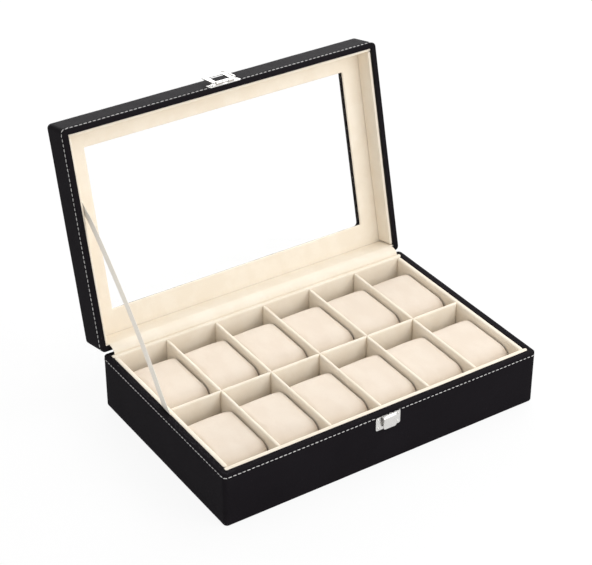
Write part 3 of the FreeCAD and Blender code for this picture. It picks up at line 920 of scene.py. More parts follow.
def stitch_recipe() -> NodeRecipe:
    """Stitches laid end to end along a closed line of edges.

    Returns:
        The recipe, with inputs Pitch, Length and Thickness.
    """
    recipe = NodeRecipe("stitch_row", ("Pitch", "Length", "Thickness"))
    given = recipe.entry.outputs
    line = recipe.socket("GeometryNodeMeshToCurve", None, {"Mesh": given["Geometry"]})
    spaced = recipe.socket("GeometryNodeResampleCurve", {"mode": "LENGTH"},
                           {"Curve": line, "Length": given["Pitch"]})
    along = recipe.socket("FunctionNodeAlignRotationToVector", {"axis": "X"},
                          {"Vector": recipe.socket("GeometryNodeInputTangent")})
    sway = recipe.socket("FunctionNodeRandomValue", {"data_type": "FLOAT_VECTOR"},
                         {0: (0.0, -0.05, -0.09), 1: (0.0, 0.05, 0.09), "Seed": 11})
    turn = recipe.socket("FunctionNodeEulerToRotation", None, {0: sway})
    swayed = recipe.socket("FunctionNodeRotateRotation", {"rotation_space": "LOCAL"}, {0: along, 1: turn})
    size = recipe.socket("ShaderNodeCombineXYZ", None,
                         {0: given["Length"], 1: given["Thickness"], 2: given["Thickness"]})
    vary = recipe.socket("FunctionNodeRandomValue", {"data_type": "FLOAT"}, {2: 0.90, 3: 1.06, "Seed": 4}, 1)
    varied = recipe.socket("ShaderNodeVectorMath", {"operation": "SCALE"}, {0: size, "Scale": vary})
    recipe.lay(spaced, 8, 6, swayed, varied)
    return recipe


def nail_recipe() -> NodeRecipe:
    """Domed nail heads on points that carry the way they face.

    Returns:
        The recipe, with inputs Width and Rise.
    """
    recipe = NodeRecipe("nail_heads", ("Width", "Rise"))
    given = recipe.entry.outputs
    facing = recipe.socket("GeometryNodeInputNamedAttribute", {"data_type": "FLOAT_VECTOR"},
                           {"Name": "facing"})
    turn = recipe.socket("FunctionNodeAlignRotationToVector", {"axis": "Z"}, {"Vector": facing})
    spots = recipe.socket("GeometryNodeMeshToPoints", None, {"Mesh": given["Geometry"]})
    size = recipe.socket("ShaderNodeCombineXYZ", None,
                         {0: given["Width"], 1: given["Width"], 2: given["Rise"]})
    recipe.lay(spots, 16, 10, turn, size)
    return recipe


@dataclass
class LeatherCover:
    """A leather skin drawn round the box, with a sewn line near its rim."""

    finishes: FinishBook
    stitches: NodeRecipe
    grid: RingGrid = RingGrid()
    leather: float = 1.0
    wall: float = 6.4
    crown: Flat = (2.6, 3.9)
    crown_rise: float = 0.05
    rim_wear: float = 0.8
    inner_round: float = 0.6
    stitch_drop: float = 3.0
    groove_half: float = 1.1
    groove_depth: float = 0.32
    stitch_pitch: float = 4.3
    stitch_length: float = 3.5
    thread: float = 0.74
    thread_lift: float = 0.22
    knuckle_room: float = 2.0
    room_end: float = 0.8
    window_from: float = 15.0
    least_corner: float = 0.5
    wear_reach: float = 9.0
    corner_wear: float = 0.35
    waves: Tuple[Spot, ...] = ((34.0, 3.0, 0.10), (11.0, 7.0, 0.03))
    drawn_in: float = 0.08
    most_drawn: float = 0.25
    sharp: float = 50.0

    def profile(self) -> Profile:
        """The closed section of the leather as (inset, height, wear) points."""
        raise NotImplementedError

    def groove(self, height: float, up: float) -> Profile:
        """The sewn groove in an outer side, in the order that the profile runs.

        Args:
            height: Height of the sewn line.
            up: 1 if the profile runs up, -1 if it runs down.

        Returns:
            Profile points.
        """
        shares = [(-1.0, 0.0), (-0.6, 0.3), (-0.25, 0.85), (0.0, 1.0), (0.25, 0.85), (0.6, 0.3), (1.0, 0.0)]
        return [(depth * self.groove_depth, height + up * place * self.groove_half, 0.0)
                for place, depth in shares]

    def rim_fold(self, rim: float, up: float) -> Profile:
        """The leather over a rim, from the outer side to the inner edge.

        Args:
            rim: Height of the rim.
            up: 1 for a rim that faces up, -1 for one that faces down.

        Returns:
            Profile points.
        """
        level_at = 180.0 - up * 90.0
        outer = BOX.rim_round
        points = bend((outer, rim - up * outer), outer, 180.0, level_at, 6, self.rim_wear)
        points += [(self.crown[0], rim + up * self.crown_rise, 0.0), (self.crown[1], rim, 0.0)]
        centre = (self.wall - self.inner_round, rim - up * self.inner_round)
        return points + bend(centre, self.inner_round, level_at, level_at - up * 90.0, 3)

    def cover(self, body: Body, sewn: float) -> None:
        """Make the leather of a body and its stitches.

        Args:
            body: The base or the lid.
            sewn: Height of the sewn line, with the lid closed.
        """
        part = body.value
        dress(self.skin(part + "_leather", body), part + "_cover", part)
        dress(self.sewn_line(part + "_stitches", sewn, body), "", part)

    def skin(self, name: str, body: Body) -> Piece:
        """Sweep the closed profile round the box.

        Args:
            name: Name of the piece.
            body: The base, or the lid, which is turned to its open place.

        Returns:
            The new piece.
        """
        rings = []
        wear = []
        for inset, height, worn in self.profile():
            at_window = inset > self.window_from
            radius = BOX.window_corner if at_window else max(BOX.corner - inset, self.least_corner)
            flat = self.grid.points(BOX.half_width - inset, BOX.half_depth - inset, radius)
            rings.append(level(flat, height))
            off = np.hypot(BOX.half_width - abs(flat[:, 0]), BOX.half_depth - abs(flat[:, 1]))
            near = np.maximum(0.0, 1.0 - off / self.wear_reach)
            wear.append(np.clip(worn + self.corner_wear * near, 0.0, 1.0))
        points = np.concatenate(rings)
        soft = ripples(points, *self.waves)
        inward = points * np.array([1.0 / BOX.half_width, 1.0 / BOX.half_depth, 0.0])
        side = np.where(abs(inward[:, 0]) > abs(inward[:, 1]), 0, 1)
        rows = np.arange(len(points))
        drawn = np.clip(soft + self.drawn_in, 0.0, self.most_drawn)
        points[rows, side] -= np.sign(points[rows, side]) * drawn
        if body is Body.LID:
            points = BOX.opened(points)
        faces = loop_faces(len(rings), len(rings[0]), True)
        piece = make_piece(name, points, faces, self.finishes.leather, self.sharp)
        layer = piece.data.attributes.new("wear", "FLOAT", "POINT")
        layer.data.foreach_set("value", np.concatenate(wear).astype(np.float32))
        self.let_in(piece)
        return piece

    def let_in(self, piece: Piece) -> None:
        """Cut the room of the hinge knuckles out of the rear edge of a skin.

        Args:
            piece: The skin.
        """
        work = bmesh.new()
        turn = Matrix.Rotation(math.radians(90.0), 4, "Y")
        radius = self.knuckle_room * MM
        for centre in (-BOX.hinge_x, BOX.hinge_x):
            place = Matrix.Translation(Vector((centre, BOX.hinge_y, BOX.hinge_z)) * MM)
            bmesh.ops.create_cone(work, cap_ends=True, segments=24, radius1=radius, radius2=radius,
                                  depth=2 * (BOX.hinge_half + self.room_end) * MM, matrix=place @ turn)
        mesh = bpy.data.meshes.new("knuckle_room")
        work.to_mesh(mesh)
        work.free()
        cutter = link_piece("knuckle_room", mesh, self.finishes.leather)
        step = piece.modifiers.new("let_in", "BOOLEAN")
        step.operation = "DIFFERENCE"
        step.solver = "EXACT"
        step.object = cutter
        carved = settled_mesh(piece)
        piece.modifiers.clear()
        carved.name = piece.name
        piece.data = carved
        drop(cutter)
        shade(carved, self.sharp)

    def sewn_line(self, name: str, height: float, body: Body) -> Piece:
        """Lay the stitches along the groove all round the box.

        Args:
            name: Name of the piece.
            height: Height of the line, with the lid closed.
            body: The base or the lid.

        Returns:
            The stitches as one piece.
        """
        inset = self.groove_depth - self.thread_lift
        flat = self.grid.points(BOX.half_width - inset, BOX.half_depth - inset, BOX.corner - inset)
        points = level(flat, height)
        if body is Body.LID:
            points = BOX.opened(points)
        carrier = bpy.data.meshes.new(name)
        count = len(points)
        carrier.from_pydata((points * MM).tolist(), [(i, (i + 1) % count) for i in range(count)], [])
        return self.stitches.run(name, carrier, self.finishes.thread, pitch=self.stitch_pitch,
                                 length=self.stitch_length, thickness=self.thread)


@dataclass
class BaseShell(LeatherCover):
    """The outside of the base: leather, its stitches and the felt under it."""

    foot: float = 0.2
    foot_round: float = 1.9
    foot_wear: float = 0.9
    turn_under: float = 14.0
    under_middle: float = 8.0
    inner_foot: float = 1.2
    felt_x: float = 142.5
    felt_y: float = 85.5
    felt_round: float = 0.5

    def profile(self) -> Profile:
        """The closed section of the leather, from the turn-under up over the rim and back inside.

        Returns:
            Profile points.
        """
        rim = BOX.base_height
        sewn = rim - self.stitch_drop
        low = self.foot + self.foot_round
        inner = rim - self.leather
        points: Profile = [(self.turn_under, self.foot, 0.0), (self.under_middle, self.foot, 0.0)]
        points += bend((self.foot_round, low), self.foot_round, 270.0, 180.0, 6, self.foot_wear)
        points += straight((0.0, low), (0.0, sewn - self.groove_half), 12)
        points += self.groove(sewn, 1.0) + self.rim_fold(rim, 1.0)
        points += [(self.wall, inner, 0.0), (self.leather, inner, 0.0)]
        points += straight((self.leather, inner), (self.leather, self.inner_foot), 6)
        return points + [(self.leather, self.inner_foot, 0.0), (self.turn_under, self.inner_foot, 0.0)]

    def build(self) -> None:
        """Make the leather, its stitches and the felt."""
        self.cover(Body.BASE, BOX.base_height - self.stitch_drop)
        felt = Board(Run.ALONG_X, -self.felt_x, self.felt_x, 0.0, self.felt_y, self.inner_foot, 0.0,
                     self.felt_round, waves=0.0).make("felt_sheet", self.finishes.felt)
        dress(felt, "felt_pad", Body.BASE.value)


@dataclass
class LidShell(LeatherCover):
    """The outside of the lid: leather round the rails, the top and the edge of the window."""

    wall: float = 4.9
    crown: Flat = (2.4, 3.6)
    top_round: float = 1.6
    border: float = 24.3
    turned_in: float = 16.3
    turned_middle: float = 20.0
    glass_top: float = 78.6
    window_foot_round: float = 0.5
    window_round: float = 0.8
    window_wear: float = 0.6

    def profile(self) -> Profile:
        """The closed section of the leather of the closed lid, from the turn-in over the top to the rim.

        Returns:
            Profile points.
        """
        rim, top, edge = BOX.lid_rim, BOX.lid_top, self.border
        sewn = rim + self.stitch_drop
        inner = rim + self.leather
        under = top - self.leather
        fold = self.glass_top + self.leather
        low, high, outer = self.window_foot_round, self.window_round, self.top_round
        points: Profile = [(self.turned_in, self.glass_top, 0.0), (self.turned_middle, self.glass_top, 0.0)]
        points += bend((edge - low, self.glass_top + low), low, 270.0, 360.0, 3)
        points += bend((edge - high, top - high), high, 0.0, 90.0, 4, self.window_wear)
        points += straight((edge - high, top), (outer, top), 8)
        points += bend((outer, top - outer), outer, 90.0, 180.0, 7, self.rim_wear)
        points += straight((0.0, top - outer), (0.0, sewn + self.groove_half), 8)
        points += self.groove(sewn, -1.0) + self.rim_fold(rim, -1.0)
        inside = [(self.wall, inner), (self.leather, inner), (self.leather, (inner + under) / 2),
                  (self.leather, under), (edge - self.leather, under), (edge - self.leather, fold),
                  (self.turned_in, fold)]
        return points + [(inset, height, 0.0) for inset, height in inside]

    def build(self) -> None:
        """Make the leather and its stitches."""
        self.cover(Body.LID, BOX.lid_rim + self.stitch_drop)


@dataclass(frozen=True)
class Board:
    """A cloth-covered board with soft edges, narrowed where other boards cross it."""

    run: Run
    start: float
    end: float
    middle: float
    half: float
    foot: float
    top: float
    top_round: float
    crossings: Tuple[float, ...] = ()
    waves: float = 0.12
    seed: float = 1.0
    ends: Tuple[Flat, ...] = ((0.0, 0.45), (0.35, 0.75), (0.9, 0.93), (1.8, 1.0))
    pinch: Tuple[Flat, ...] = ((0.0, 0.5), (1.2, 0.5), (1.55, 0.58), (1.95, 0.78), (2.6, 0.94), (3.5, 1.0))
    spacing: float = 5.0
    apart: float = 1.6
    crossing_room: float = 3.6
    most_taper: float = 1.5
    side_steps: int = 7
    round_steps: int = 5
    sharp: float = 55.0

    def stations(self) -> List[Flat]:
        """Places along the board with the share of its thickness there.

        Returns:
            (place, share) pairs in order.
        """
        found: Dict[float, float] = {}
        for offset, share in self.ends:
            found[round(self.start + offset, 3)] = share
            found[round(self.end - offset, 3)] = share
        for place in self.crossings:
            for offset, share in self.pinch:
                found[round(place - offset, 3)] = share
                found[round(place + offset, 3)] = share
        taken = sorted(found)
        count = max(4, int((self.end - self.start) / self.spacing))
        for i in range(1, count):
            place = self.start + (self.end - self.start) * i / count
            clear = all(abs(place - c) > self.crossing_room for c in self.crossings)
            if clear and min(abs(place - t) for t in taken) > self.apart:
                found[round(place, 3)] = 1.0
        return sorted(found.items())

    def section(self, share: float) -> List[Flat]:
        """The loop round the board at a share of the thickness.

        Args:
            share: Share of the thickness.

        Returns:
            (across, height) points.
        """
        half = self.half - (1.0 - share) * min(self.half, self.most_taper)
        up = 1.0 if self.top > self.foot else -1.0
        round_off = min(self.top_round, half * 0.98)
        high = self.top - up * self.top_round
        side = [self.foot + (high - self.foot) * i / self.side_steps for i in range(self.side_steps)]
        angles = [math.radians(90.0 * i / self.round_steps) for i in range(self.round_steps + 1)]
        arc = [(half - round_off + round_off * math.cos(a), high + up * self.top_round * math.sin(a))
               for a in angles]
        rise = [(half, height) for height in side] + arc
        return [(-across, height) for across, height in rise] + rise[::-1]

    def make(self, name: str, material: Material, lid: bool = False) -> Piece:
        """Loft the board through its stations.

        Args:
            name: Name of the piece.
            material: Its material.
            lid: Whether the board is the closed lid's, turned to its open place.

        Returns:
            The new piece.
        """
        along_x = self.run is Run.ALONG_X
        stations = self.stations()
        rows = []
        for along, share in stations:
            for across, height in self.section(share):
                spot = (along, self.middle + across)
                rows.append((*(spot if along_x else spot[::-1]), height))
        points = np.array(rows)
        if self.waves:
            wave = ripples(points, (26.0, self.seed, 1.0), (8.0, self.seed + 5.0, 0.4))
            points[:, 1 if along_x else 0] += wave * self.waves
            share = abs(points[:, 2] - self.foot) / abs(self.top - self.foot)
            points[:, 2] += ripples(points, (30.0, self.seed + 9.0, 1.0)) * self.waves * share ** 4
        if lid:
            points = BOX.opened(points)
        faces = loop_faces(len(stations), len(points) // len(stations), False)
        return make_piece(name, points, faces, material, self.sharp)


@dataclass
class TrayLining:
    """The velvet inside the base: liners, floor and the dividers of the twelve compartments."""

    finishes: FinishBook
    panel_top: float = 5.2
    floor_x: float = 146.8
    floor_y: float = 89.8
    floor_round: float = 0.5
    floor_waves: float = 0.05
    lip: float = 52.6
    back_lip: float = 53.0
    right_lip: float = 51.6
    lip_round: float = 1.9
    end_gap: float = 0.3
    divider_top: float = 51.7
    divider_half: float = 1.5
    divider_round: float = 1.4
    divider_waves: float = 0.14

    def boards(self) -> Dict[str, Board]:
        """Every board of the lining.

        Returns:
            The boards by the node that each stands for.
        """
        mid_x = (BOX.inner_x + BOX.tray_x) / 2
        mid_y = (BOX.inner_y + BOX.tray_y) / 2
        half = (BOX.inner_x - BOX.tray_x) / 2
        side = BOX.tray_y - self.end_gap
        full = BOX.inner_x
        floor = Board(Run.ALONG_X, -self.floor_x, self.floor_x, 0.0, self.floor_y, self.panel_top,
                      BOX.floor_top, self.floor_round, waves=self.floor_waves)
        found = {"floor_lining": floor}
        liners = {
            "front": (Run.ALONG_X, full, -mid_y, self.lip),
            "back": (Run.ALONG_X, full, mid_y, self.back_lip),
            "left": (Run.ALONG_Y, side, -mid_x, self.lip),
            "right": (Run.ALONG_Y, side, mid_x, self.right_lip),
        }
        for seed, (name, (run, reach, middle, lip)) in enumerate(liners.items(), 2):
            found[f"base_{name}_liner"] = Board(run, -reach, reach, middle, half, self.panel_top, lip,
                                                self.lip_round, seed=float(seed))
        crossings = tuple((i - (BOX.across - 2) / 2) * BOX.pitch for i in range(BOX.across - 1))
        dividers = {"long_divider": (Run.ALONG_X, BOX.tray_x - self.end_gap, 0.0, crossings)}
        for number, place in enumerate(crossings, 1):
            dividers[f"cross_divider_{number}"] = (Run.ALONG_Y, side, place, (0.0,))
        for seed, (name, (run, reach, middle, crossed)) in enumerate(dividers.items(), 6):
            found[name] = Board(run, -reach, reach, middle, self.divider_half, BOX.floor_top,
                                self.divider_top, self.divider_round, crossed, self.divider_waves,
                                float(seed))
        return found

    def build(self) -> None:
        """Make every board of the lining."""
        for node, board in self.boards().items():
            name = node
            for old, new in (("liner", "velvet"), ("lining", "velvet"), ("divider", "partition")):
                name = name.replace(old, new)
            dress(board.make(name, self.finishes.velvet), node, Body.BASE.value)


@dataclass
class LidLining:
    """The velvet inside the lid: four liners and the frame that holds the pane."""

    finishes: FinishBook
    liner_half: float = 1.45
    back_half: float = 0.4
    back_waves: float = 0.05
    foot: float = 54.8
    back_foot: float = 53.6
    liner_round: float = 1.2
    end_gap: float = 0.3
    side_rear: float = 93.4
    frame_face: float = 73.3
    joint: float = 0.4
    glass_foot: float = 76.6
    frame_back: float = 79.6
    glass_overlap: float = 8.0
    lap: float = 1.6
    front_lap: float = 1.2
    rear_lap: float = 3.2
    undercut: float = 2.2
    frame_gap: float = 0.2
    edge_round: float = 1.1
    corner: float = 0.7
    grid: RingGrid = RingGrid(3, 52, 30)
    wave: Spot = (24.0, 21.0, 0.14)
    wave_depth: float = 0.5
    sharp: float = 60.0

    def liners(self) -> Dict[str, Board]:
        """The four liners of the closed lid, their soft edge at the rim.

        Returns:
            The boards by the node that each stands for.
        """
        half, foot, soft, rear = self.liner_half, self.foot, self.liner_round, self.side_rear
        mid_x = BOX.lid_inner_x - half
        mid_y = BOX.lid_inner_y - half
        back_y = BOX.lid_inner_y - self.back_half
        front = -(BOX.lid_inner_y - 2 * half) + self.end_gap
        full = BOX.lid_inner_x
        face = self.frame_face - self.joint
        return {
            "lid_front_liner": Board(Run.ALONG_X, -full, full, -mid_y, half, face, foot, soft, seed=12.0),
            "lid_back_liner": Board(Run.ALONG_X, -full, full, back_y, self.back_half, face, self.back_foot,
                                    soft, waves=self.back_waves, seed=13.0),
            "lid_left_liner": Board(Run.ALONG_Y, front, rear, -mid_x, half, face, foot, soft, seed=14.0),
            "lid_right_liner": Board(Run.ALONG_Y, front, rear, mid_x, half, face, foot, soft, seed=15.0),
        }

    def frame(self) -> Piece:
        """The velvet frame round the window, rounded along the window and stepped for the pane.

        Returns:
            The new piece.
        """
        open_x = BOX.window_x - self.lap
        open_y = BOX.window_y - self.lap
        reach = BOX.lid_inner_x - self.frame_gap - open_x
        pocket = self.glass_overlap + self.lap
        face, soft, back = self.frame_face, self.edge_round, self.frame_back
        section: Profile = [(-self.undercut, self.glass_foot, 0.0), (-self.undercut, face + 2 * soft, 0.0)]
        section += bend((-soft, face + soft), soft, 45.0, -90.0, 6)
        section += straight((-soft, face), (-reach, face), 7)
        section += [(-reach, face, 0.0), (-reach, back, 0.0), (-pocket, back, 0.0),
                    (-pocket, self.glass_foot, 0.0)]
        rings = []
        for inset, height, _ in section:
            flat = self.grid.points(open_x - inset, open_y - inset, self.corner)
            if inset > -self.glass_overlap / 2:
                flat[flat[:, 1] > 0.0, 1] -= self.rear_lap - self.lap
                flat[flat[:, 1] < 0.0, 1] -= self.lap - self.front_lap
            rings.append(level(flat, height))
        points = np.concatenate(rings)
        low = points[:, 2] < face + self.wave_depth
        points[low, 2] += ripples(points[low], self.wave)
        faces = loop_faces(len(rings), len(rings[0]), True)
        return make_piece("window_frame_velvet", BOX.opened(points), faces, self.finishes.velvet, self.sharp)

    def build(self) -> None:
        """Make the liners and the frame."""
        made = {node: board.make(node.replace("liner", "velvet"), self.finishes.velvet, True)
                for node, board in self.liners().items()}
        made["inner_frame"] = self.frame()
        for node, piece in made.items():
            dress(piece, node, Body.LID.value)


CLOTH = {"quality": 6, "mass": 0.1, "tension_stiffness": 12.0, "compression_stiffness": 12.0,
         "shear_stiffness": 6.0, "bending_stiffness": 0.4, "use_pressure": True,
         "uniform_pressure_force": 4.0}


@dataclass
class WatchCushions:
    """Twelve watch cushions, blown up by cloth simulation from a slack cover."""

    finishes: FinishBook
    row_y: float = 45.75
    half_x: float = 22.35
    half_y: float = 34.25
    top: float = 46.7
    end_round: float = 12.0
    foot_round: float = 5.0
    crown: float = 1.2
    slack: Spot = (0.985, 0.986, 0.985)
    edge: Tuple[Flat, ...] = ((1.0, 1.7), (0.992, 1.1), (0.968, 0.72), (0.92, 0.5), (0.84, 0.33),
                              (0.72, 0.2), (0.56, 0.11), (0.38, 0.05), (0.19, 0.01))
    cap_rings: Tuple[float, ...] = (0.97, 0.9, 0.78, 0.62, 0.44, 0.24)
    dent: Spot = (13.0, 31.0, 0.006)
    frames: int = 20
    most_move: float = 0.6
    variants: int = 3
    fill: float = 0.75
    sharp: float = 70.0

    def places(self) -> List[Flat]:
        """The middles of the compartments, front row first, left to right."""
        columns = [(i - (BOX.across - 1) / 2) * BOX.pitch for i in range(BOX.across)]
        return [(x, y) for y in (-self.row_y, self.row_y) for x in columns]

    def outline(self, inset: float) -> np.ndarray:
        """One upright section, drawn in from its full size.

        Args:
            inset: How far it is drawn in.

        Returns:
            One (y, z) row per point, with the height measured from the cushion's middle.
        """
        high = (self.top - BOX.floor_top) / 2
        half = self.half_y - inset
        top = high - inset
        big, small = self.end_round, self.foot_round
        corners = ((1, -high + small, small, -90.0, 5), (1, top - big, big, 0.0, 8),
                   (-1, top - big, big, 90.0, 8), (-1, -high + small, small, 180.0, 5))
        arcs = []
        for sign, z, radius, start, steps in corners:
            angle = np.radians(start + np.linspace(0.0, 90.0, steps + 1))
            y = sign * (half - radius)
            arcs.append([(y + radius * math.cos(a), z + radius * math.sin(a)) for a in angle])
        side = np.linspace(arcs[0][-1][1], arcs[1][0][1], 8)[1:-1]
        line = [(y, -high) for y in np.linspace(-half + small, half - small, 13)[1:-1]]
        line += arcs[0] + [(half, z) for z in side] + arcs[1]
        line += [(y, top) for y in np.linspace(half - big, -half + big, 15)[1:-1]]
        line += arcs[2] + [(-half, z) for z in side[::-1]] + arcs[3]
        found = np.array(line)
        rise = np.maximum(0.0, found[:, 1]) / high
        found[:, 1] -= self.crown * rise * (found[:, 0] / self.half_y) ** 2
        return found

    def start_shape(self, variant: int) -> Piece:
        """A slack cushion at the origin: sections along X, closed by rings at both sides.

        Args:
            variant: Which of the cushions, for its own dents.

        Returns:
            The helper object.
        """
        stations = [(-place, inset) for place, inset in self.edge] + [(0.0, 0.0)] + list(self.edge[::-1])
        flank = self.outline(self.edge[0][1])
        rings = [(-self.half_x, flank * k) for k in self.cap_rings[::-1]]
        rings += [(place * self.half_x, self.outline(inset)) for place, inset in stations]
        rings += [(self.half_x, flank * k) for k in self.cap_rings]
        points = np.concatenate([np.column_stack([np.full(len(ring), x), ring]) for x, ring in rings])
        size, seed, depth = self.dent
        dents = 1.0 + ripples(points, (size, seed + variant, depth))
        return make_piece(f"slack_cushion_{variant}", points * np.array(self.slack) * dents[:, None],
                          loop_faces(len(rings), len(flank), False), self.finishes.cushion, self.sharp)

    def filled(self, helper: Piece) -> np.ndarray:
        """Blow a slack cushion up by the pressure of its filling.

        Args:
            helper: The slack cushion.

        Returns:
            Its points in metres.
        """
        scene = bpy.context.scene
        cloth = helper.modifiers.new("fill", "CLOTH")
        for name, value in CLOTH.items():
            setattr(cloth.settings, name, value)
        cloth.settings.effector_weights.gravity = 0.0
        cloth.collision_settings.use_collision = False
        cloth.point_cache.frame_start = 1
        cloth.point_cache.frame_end = self.frames
        for frame in range(1, self.frames + 1):
            scene.frame_set(frame)
        points = point_rows(settled_mesh(helper))
        helper.modifiers.clear()
        scene.frame_set(1)
        return points

    def blown(self, variant: int) -> Mesh:
        """Blow one cushion up and cap how far its cloth moves.

        Args:
            variant: Which of the cushions.

        Returns:
            The finished mesh, centred on the origin.
        """
        helper = self.start_shape(variant)
        before = point_rows(helper.data)
        move = self.filled(helper) - before
        length = np.linalg.norm(move, axis=1, keepdims=True)
        LOG.info("cushion cloth %d moved %.2f mm at most", variant, float(length.max()) / MM)
        move *= np.minimum(1.0, self.most_move * MM / np.maximum(length, 1e-9))
        helper.data.vertices.foreach_set("co", (before + move).ravel())
        smooth = helper.modifiers.new("smooth", "SUBSURF")
        smooth.levels = smooth.render_levels = 1
        finished = settled_mesh(helper)
        drop(helper)
        return finished

    def build(self) -> None:
        """Make the variants and set one in each compartment."""
        forms = [self.blown(variant) for variant in range(self.variants)]
        middle = (BOX.floor_top + self.top) / 2
        for number, (x, y) in enumerate(self.places(), 1):
            name = f"watch_cushion_{number}"
            mesh = forms[(number * 2 + number // 4) % self.variants].copy()
            mesh.name = name
            points = point_rows(mesh) / MM
            if number % 2:
                points[:, 1] *= -1.0
                mesh.flip_normals()
            points[:, 0] = np.clip(points[:, 0], -self.half_x, self.half_x) + x
            points[:, 1] = np.clip(points[:, 1], -self.half_y, self.half_y) + y
            points[:, 2] = np.clip(points[:, 2] + middle, BOX.floor_top, self.top)
            mesh.vertices.foreach_set("co", (points * MM).ravel())
            mesh.update()
            piece = link_piece(name, mesh, self.finishes.cushion)
            shade(mesh, self.sharp)
            dress(piece, f"cushion_{number}", f"cushion_{number}_body")


@dataclass
class StayRibbon:
    """The satin ribbon on the left that stops the lid."""

    finishes: FinishBook
    width: float = 9.0
    thick: float = 0.4
    route: Tuple[Spot, ...] = (
        (-151.55, -8.819, 44.062),
        (-151.55, 3.620, 55.541),
        (-149.20, 25.000, 75.272),
        (-146.75, 60.000, 107.572),
        (-146.75, 126.334, 168.790),
        (-148.95, 132.948, 174.894),
        (-148.95, 143.236, 184.388),
    )
    exit: Spot = (-151.55, 0.0, 52.2)
    cup: float = 0.10
    cup_level: float = 0.35
    sway: float = 0.05
    sway_length: float = 17.0
    selvedge: float = 0.85
    selvedge_thick: float = 0.75
    sharp: float = 60.0

    def line(self) -> np.ndarray:
        """The route's smooth spline.

        Returns:
            Its points in millimetres.
        """
        curve = bpy.data.curves.new("ribbon_route", "CURVE")
        curve.dimensions = "3D"
        curve.resolution_u = 14
        spline = curve.splines.new("NURBS")
        spline.points.add(len(self.route) - 1)
        for point, (x, y, z) in zip(spline.points, self.route):
            point.co = (x * MM, y * MM, z * MM, 1.0)
        spline.order_u = 3
        spline.use_endpoint_u = True
        helper = link("ribbon_route", curve)
        mesh = settled_mesh(helper)
        drop(helper)
        return point_rows(mesh) / MM

    def strap(self, line: np.ndarray) -> Piece:
        """A flat strap along the line, a little cupped, with firm selvedges.

        Args:
            line: Points of the line in millimetres.

        Returns:
            The strap with its weave map.
        """
        ahead = np.gradient(line, axis=0)
        ahead /= np.linalg.norm(ahead, axis=1, keepdims=True)
        broad = np.cross(ahead, np.array([1.0, 0.0, 0.0]))
        broad /= np.linalg.norm(broad, axis=1, keepdims=True)
        out = np.cross(broad, ahead)
        run = np.concatenate([[0.0], np.cumsum(np.linalg.norm(np.diff(line, axis=0), axis=1))])
        upper = [(s, self.thick / 2 * (1.0 if abs(s) < self.selvedge else self.selvedge_thick))
                 for s in np.linspace(-1.0, 1.0, 11)]
        loop = upper + [(s, -rise) for s, rise in upper[::-1]]
        rows = []
        weave = []
        for at, b, o, along in zip(line, broad, out, run):
            for s, rise in loop:
                wave = math.sin(along / self.sway_length + s)
                cup = self.cup * (s * s - self.cup_level) + self.sway * wave
                rows.append(at + b * (s * self.width / 2) + o * (rise + cup))
                weave.append((along * MM, s * self.width / 2 * MM))
        faces = loop_faces(len(line), len(loop), False)
        piece = make_piece("stay_strap", np.array(rows), faces, self.finishes.ribbon, self.sharp)
        layer = piece.data.uv_layers.new(name="weave")
        for corner in piece.data.loops:
            layer.data[corner.index].uv = weave[corner.vertex_index]
        return piece

    def build(self) -> None:
        """Make the strap; it rides on neither body."""
        line = self.line()
        piece = self.strap(line)
        dress(piece, "stay_ribbon")
        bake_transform(piece)


@dataclass
class RearStrip:
    """The velvet strip that rolls over the joint between the back liner and the lid."""

    finishes: FinishBook
    half_length: float = 148.9
    thick: float = 0.7
    start: Flat = (93.2, 52.95)
    end: Flat = (103.0, 58.0)
    rise: float = 1.9
    lean: float = 0.72
    steps: int = 12
    stations: int = 91
    pucker: Spot = (9.0, 41.0, 0.16)
    crease: Spot = (22.0, 43.0, 0.12)
    sharp: float = 60.0

    def section(self) -> Tuple[np.ndarray, np.ndarray]:
        """The lower and upper lines across the strip.

        Returns:
            Both lines as (y, z) rows.
        """
        first = np.array(self.start)
        run = np.array(self.end) - first
        up = np.array([-run[1], run[0]]) / np.linalg.norm(run)
        share = np.linspace(0.0, 1.0, self.steps + 1)[:, None]
        lower = first + run * share + up * (self.rise * np.sin(np.pi * share ** self.lean))
        body = self.thick * (0.55 + 0.45 * np.sin(np.pi * np.clip(share, 0.02, 0.98)) ** 0.5)
        return lower, lower + up * body

    def build(self) -> None:
        """Make the strip, lightly puckered; it rides on neither body."""
        lower, upper = self.section()
        loop = np.concatenate([lower, upper[::-1]])
        rows = []
        for x in np.linspace(-self.half_length, self.half_length, self.stations):
            for index, (y, z) in enumerate(loop):
                belly = math.sin(math.pi * min(index, 2 * self.steps + 1 - index) / self.steps)
                lift = ripples([(x, 0.0, 0.0)], self.pucker)[0] + ripples([(x, y, z)], self.crease)[0]
                rows.append((x, y, z + belly * lift))
        faces = loop_faces(self.stations, len(loop), False)
        piece = make_piece("rear_joint_velvet", np.array(rows), faces, self.finishes.velvet, self.sharp)
        dress(piece, "rear_strip")
        start, end = ((0.0, y * MM, z * MM) for y, z in (self.start, self.end))
        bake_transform(piece)


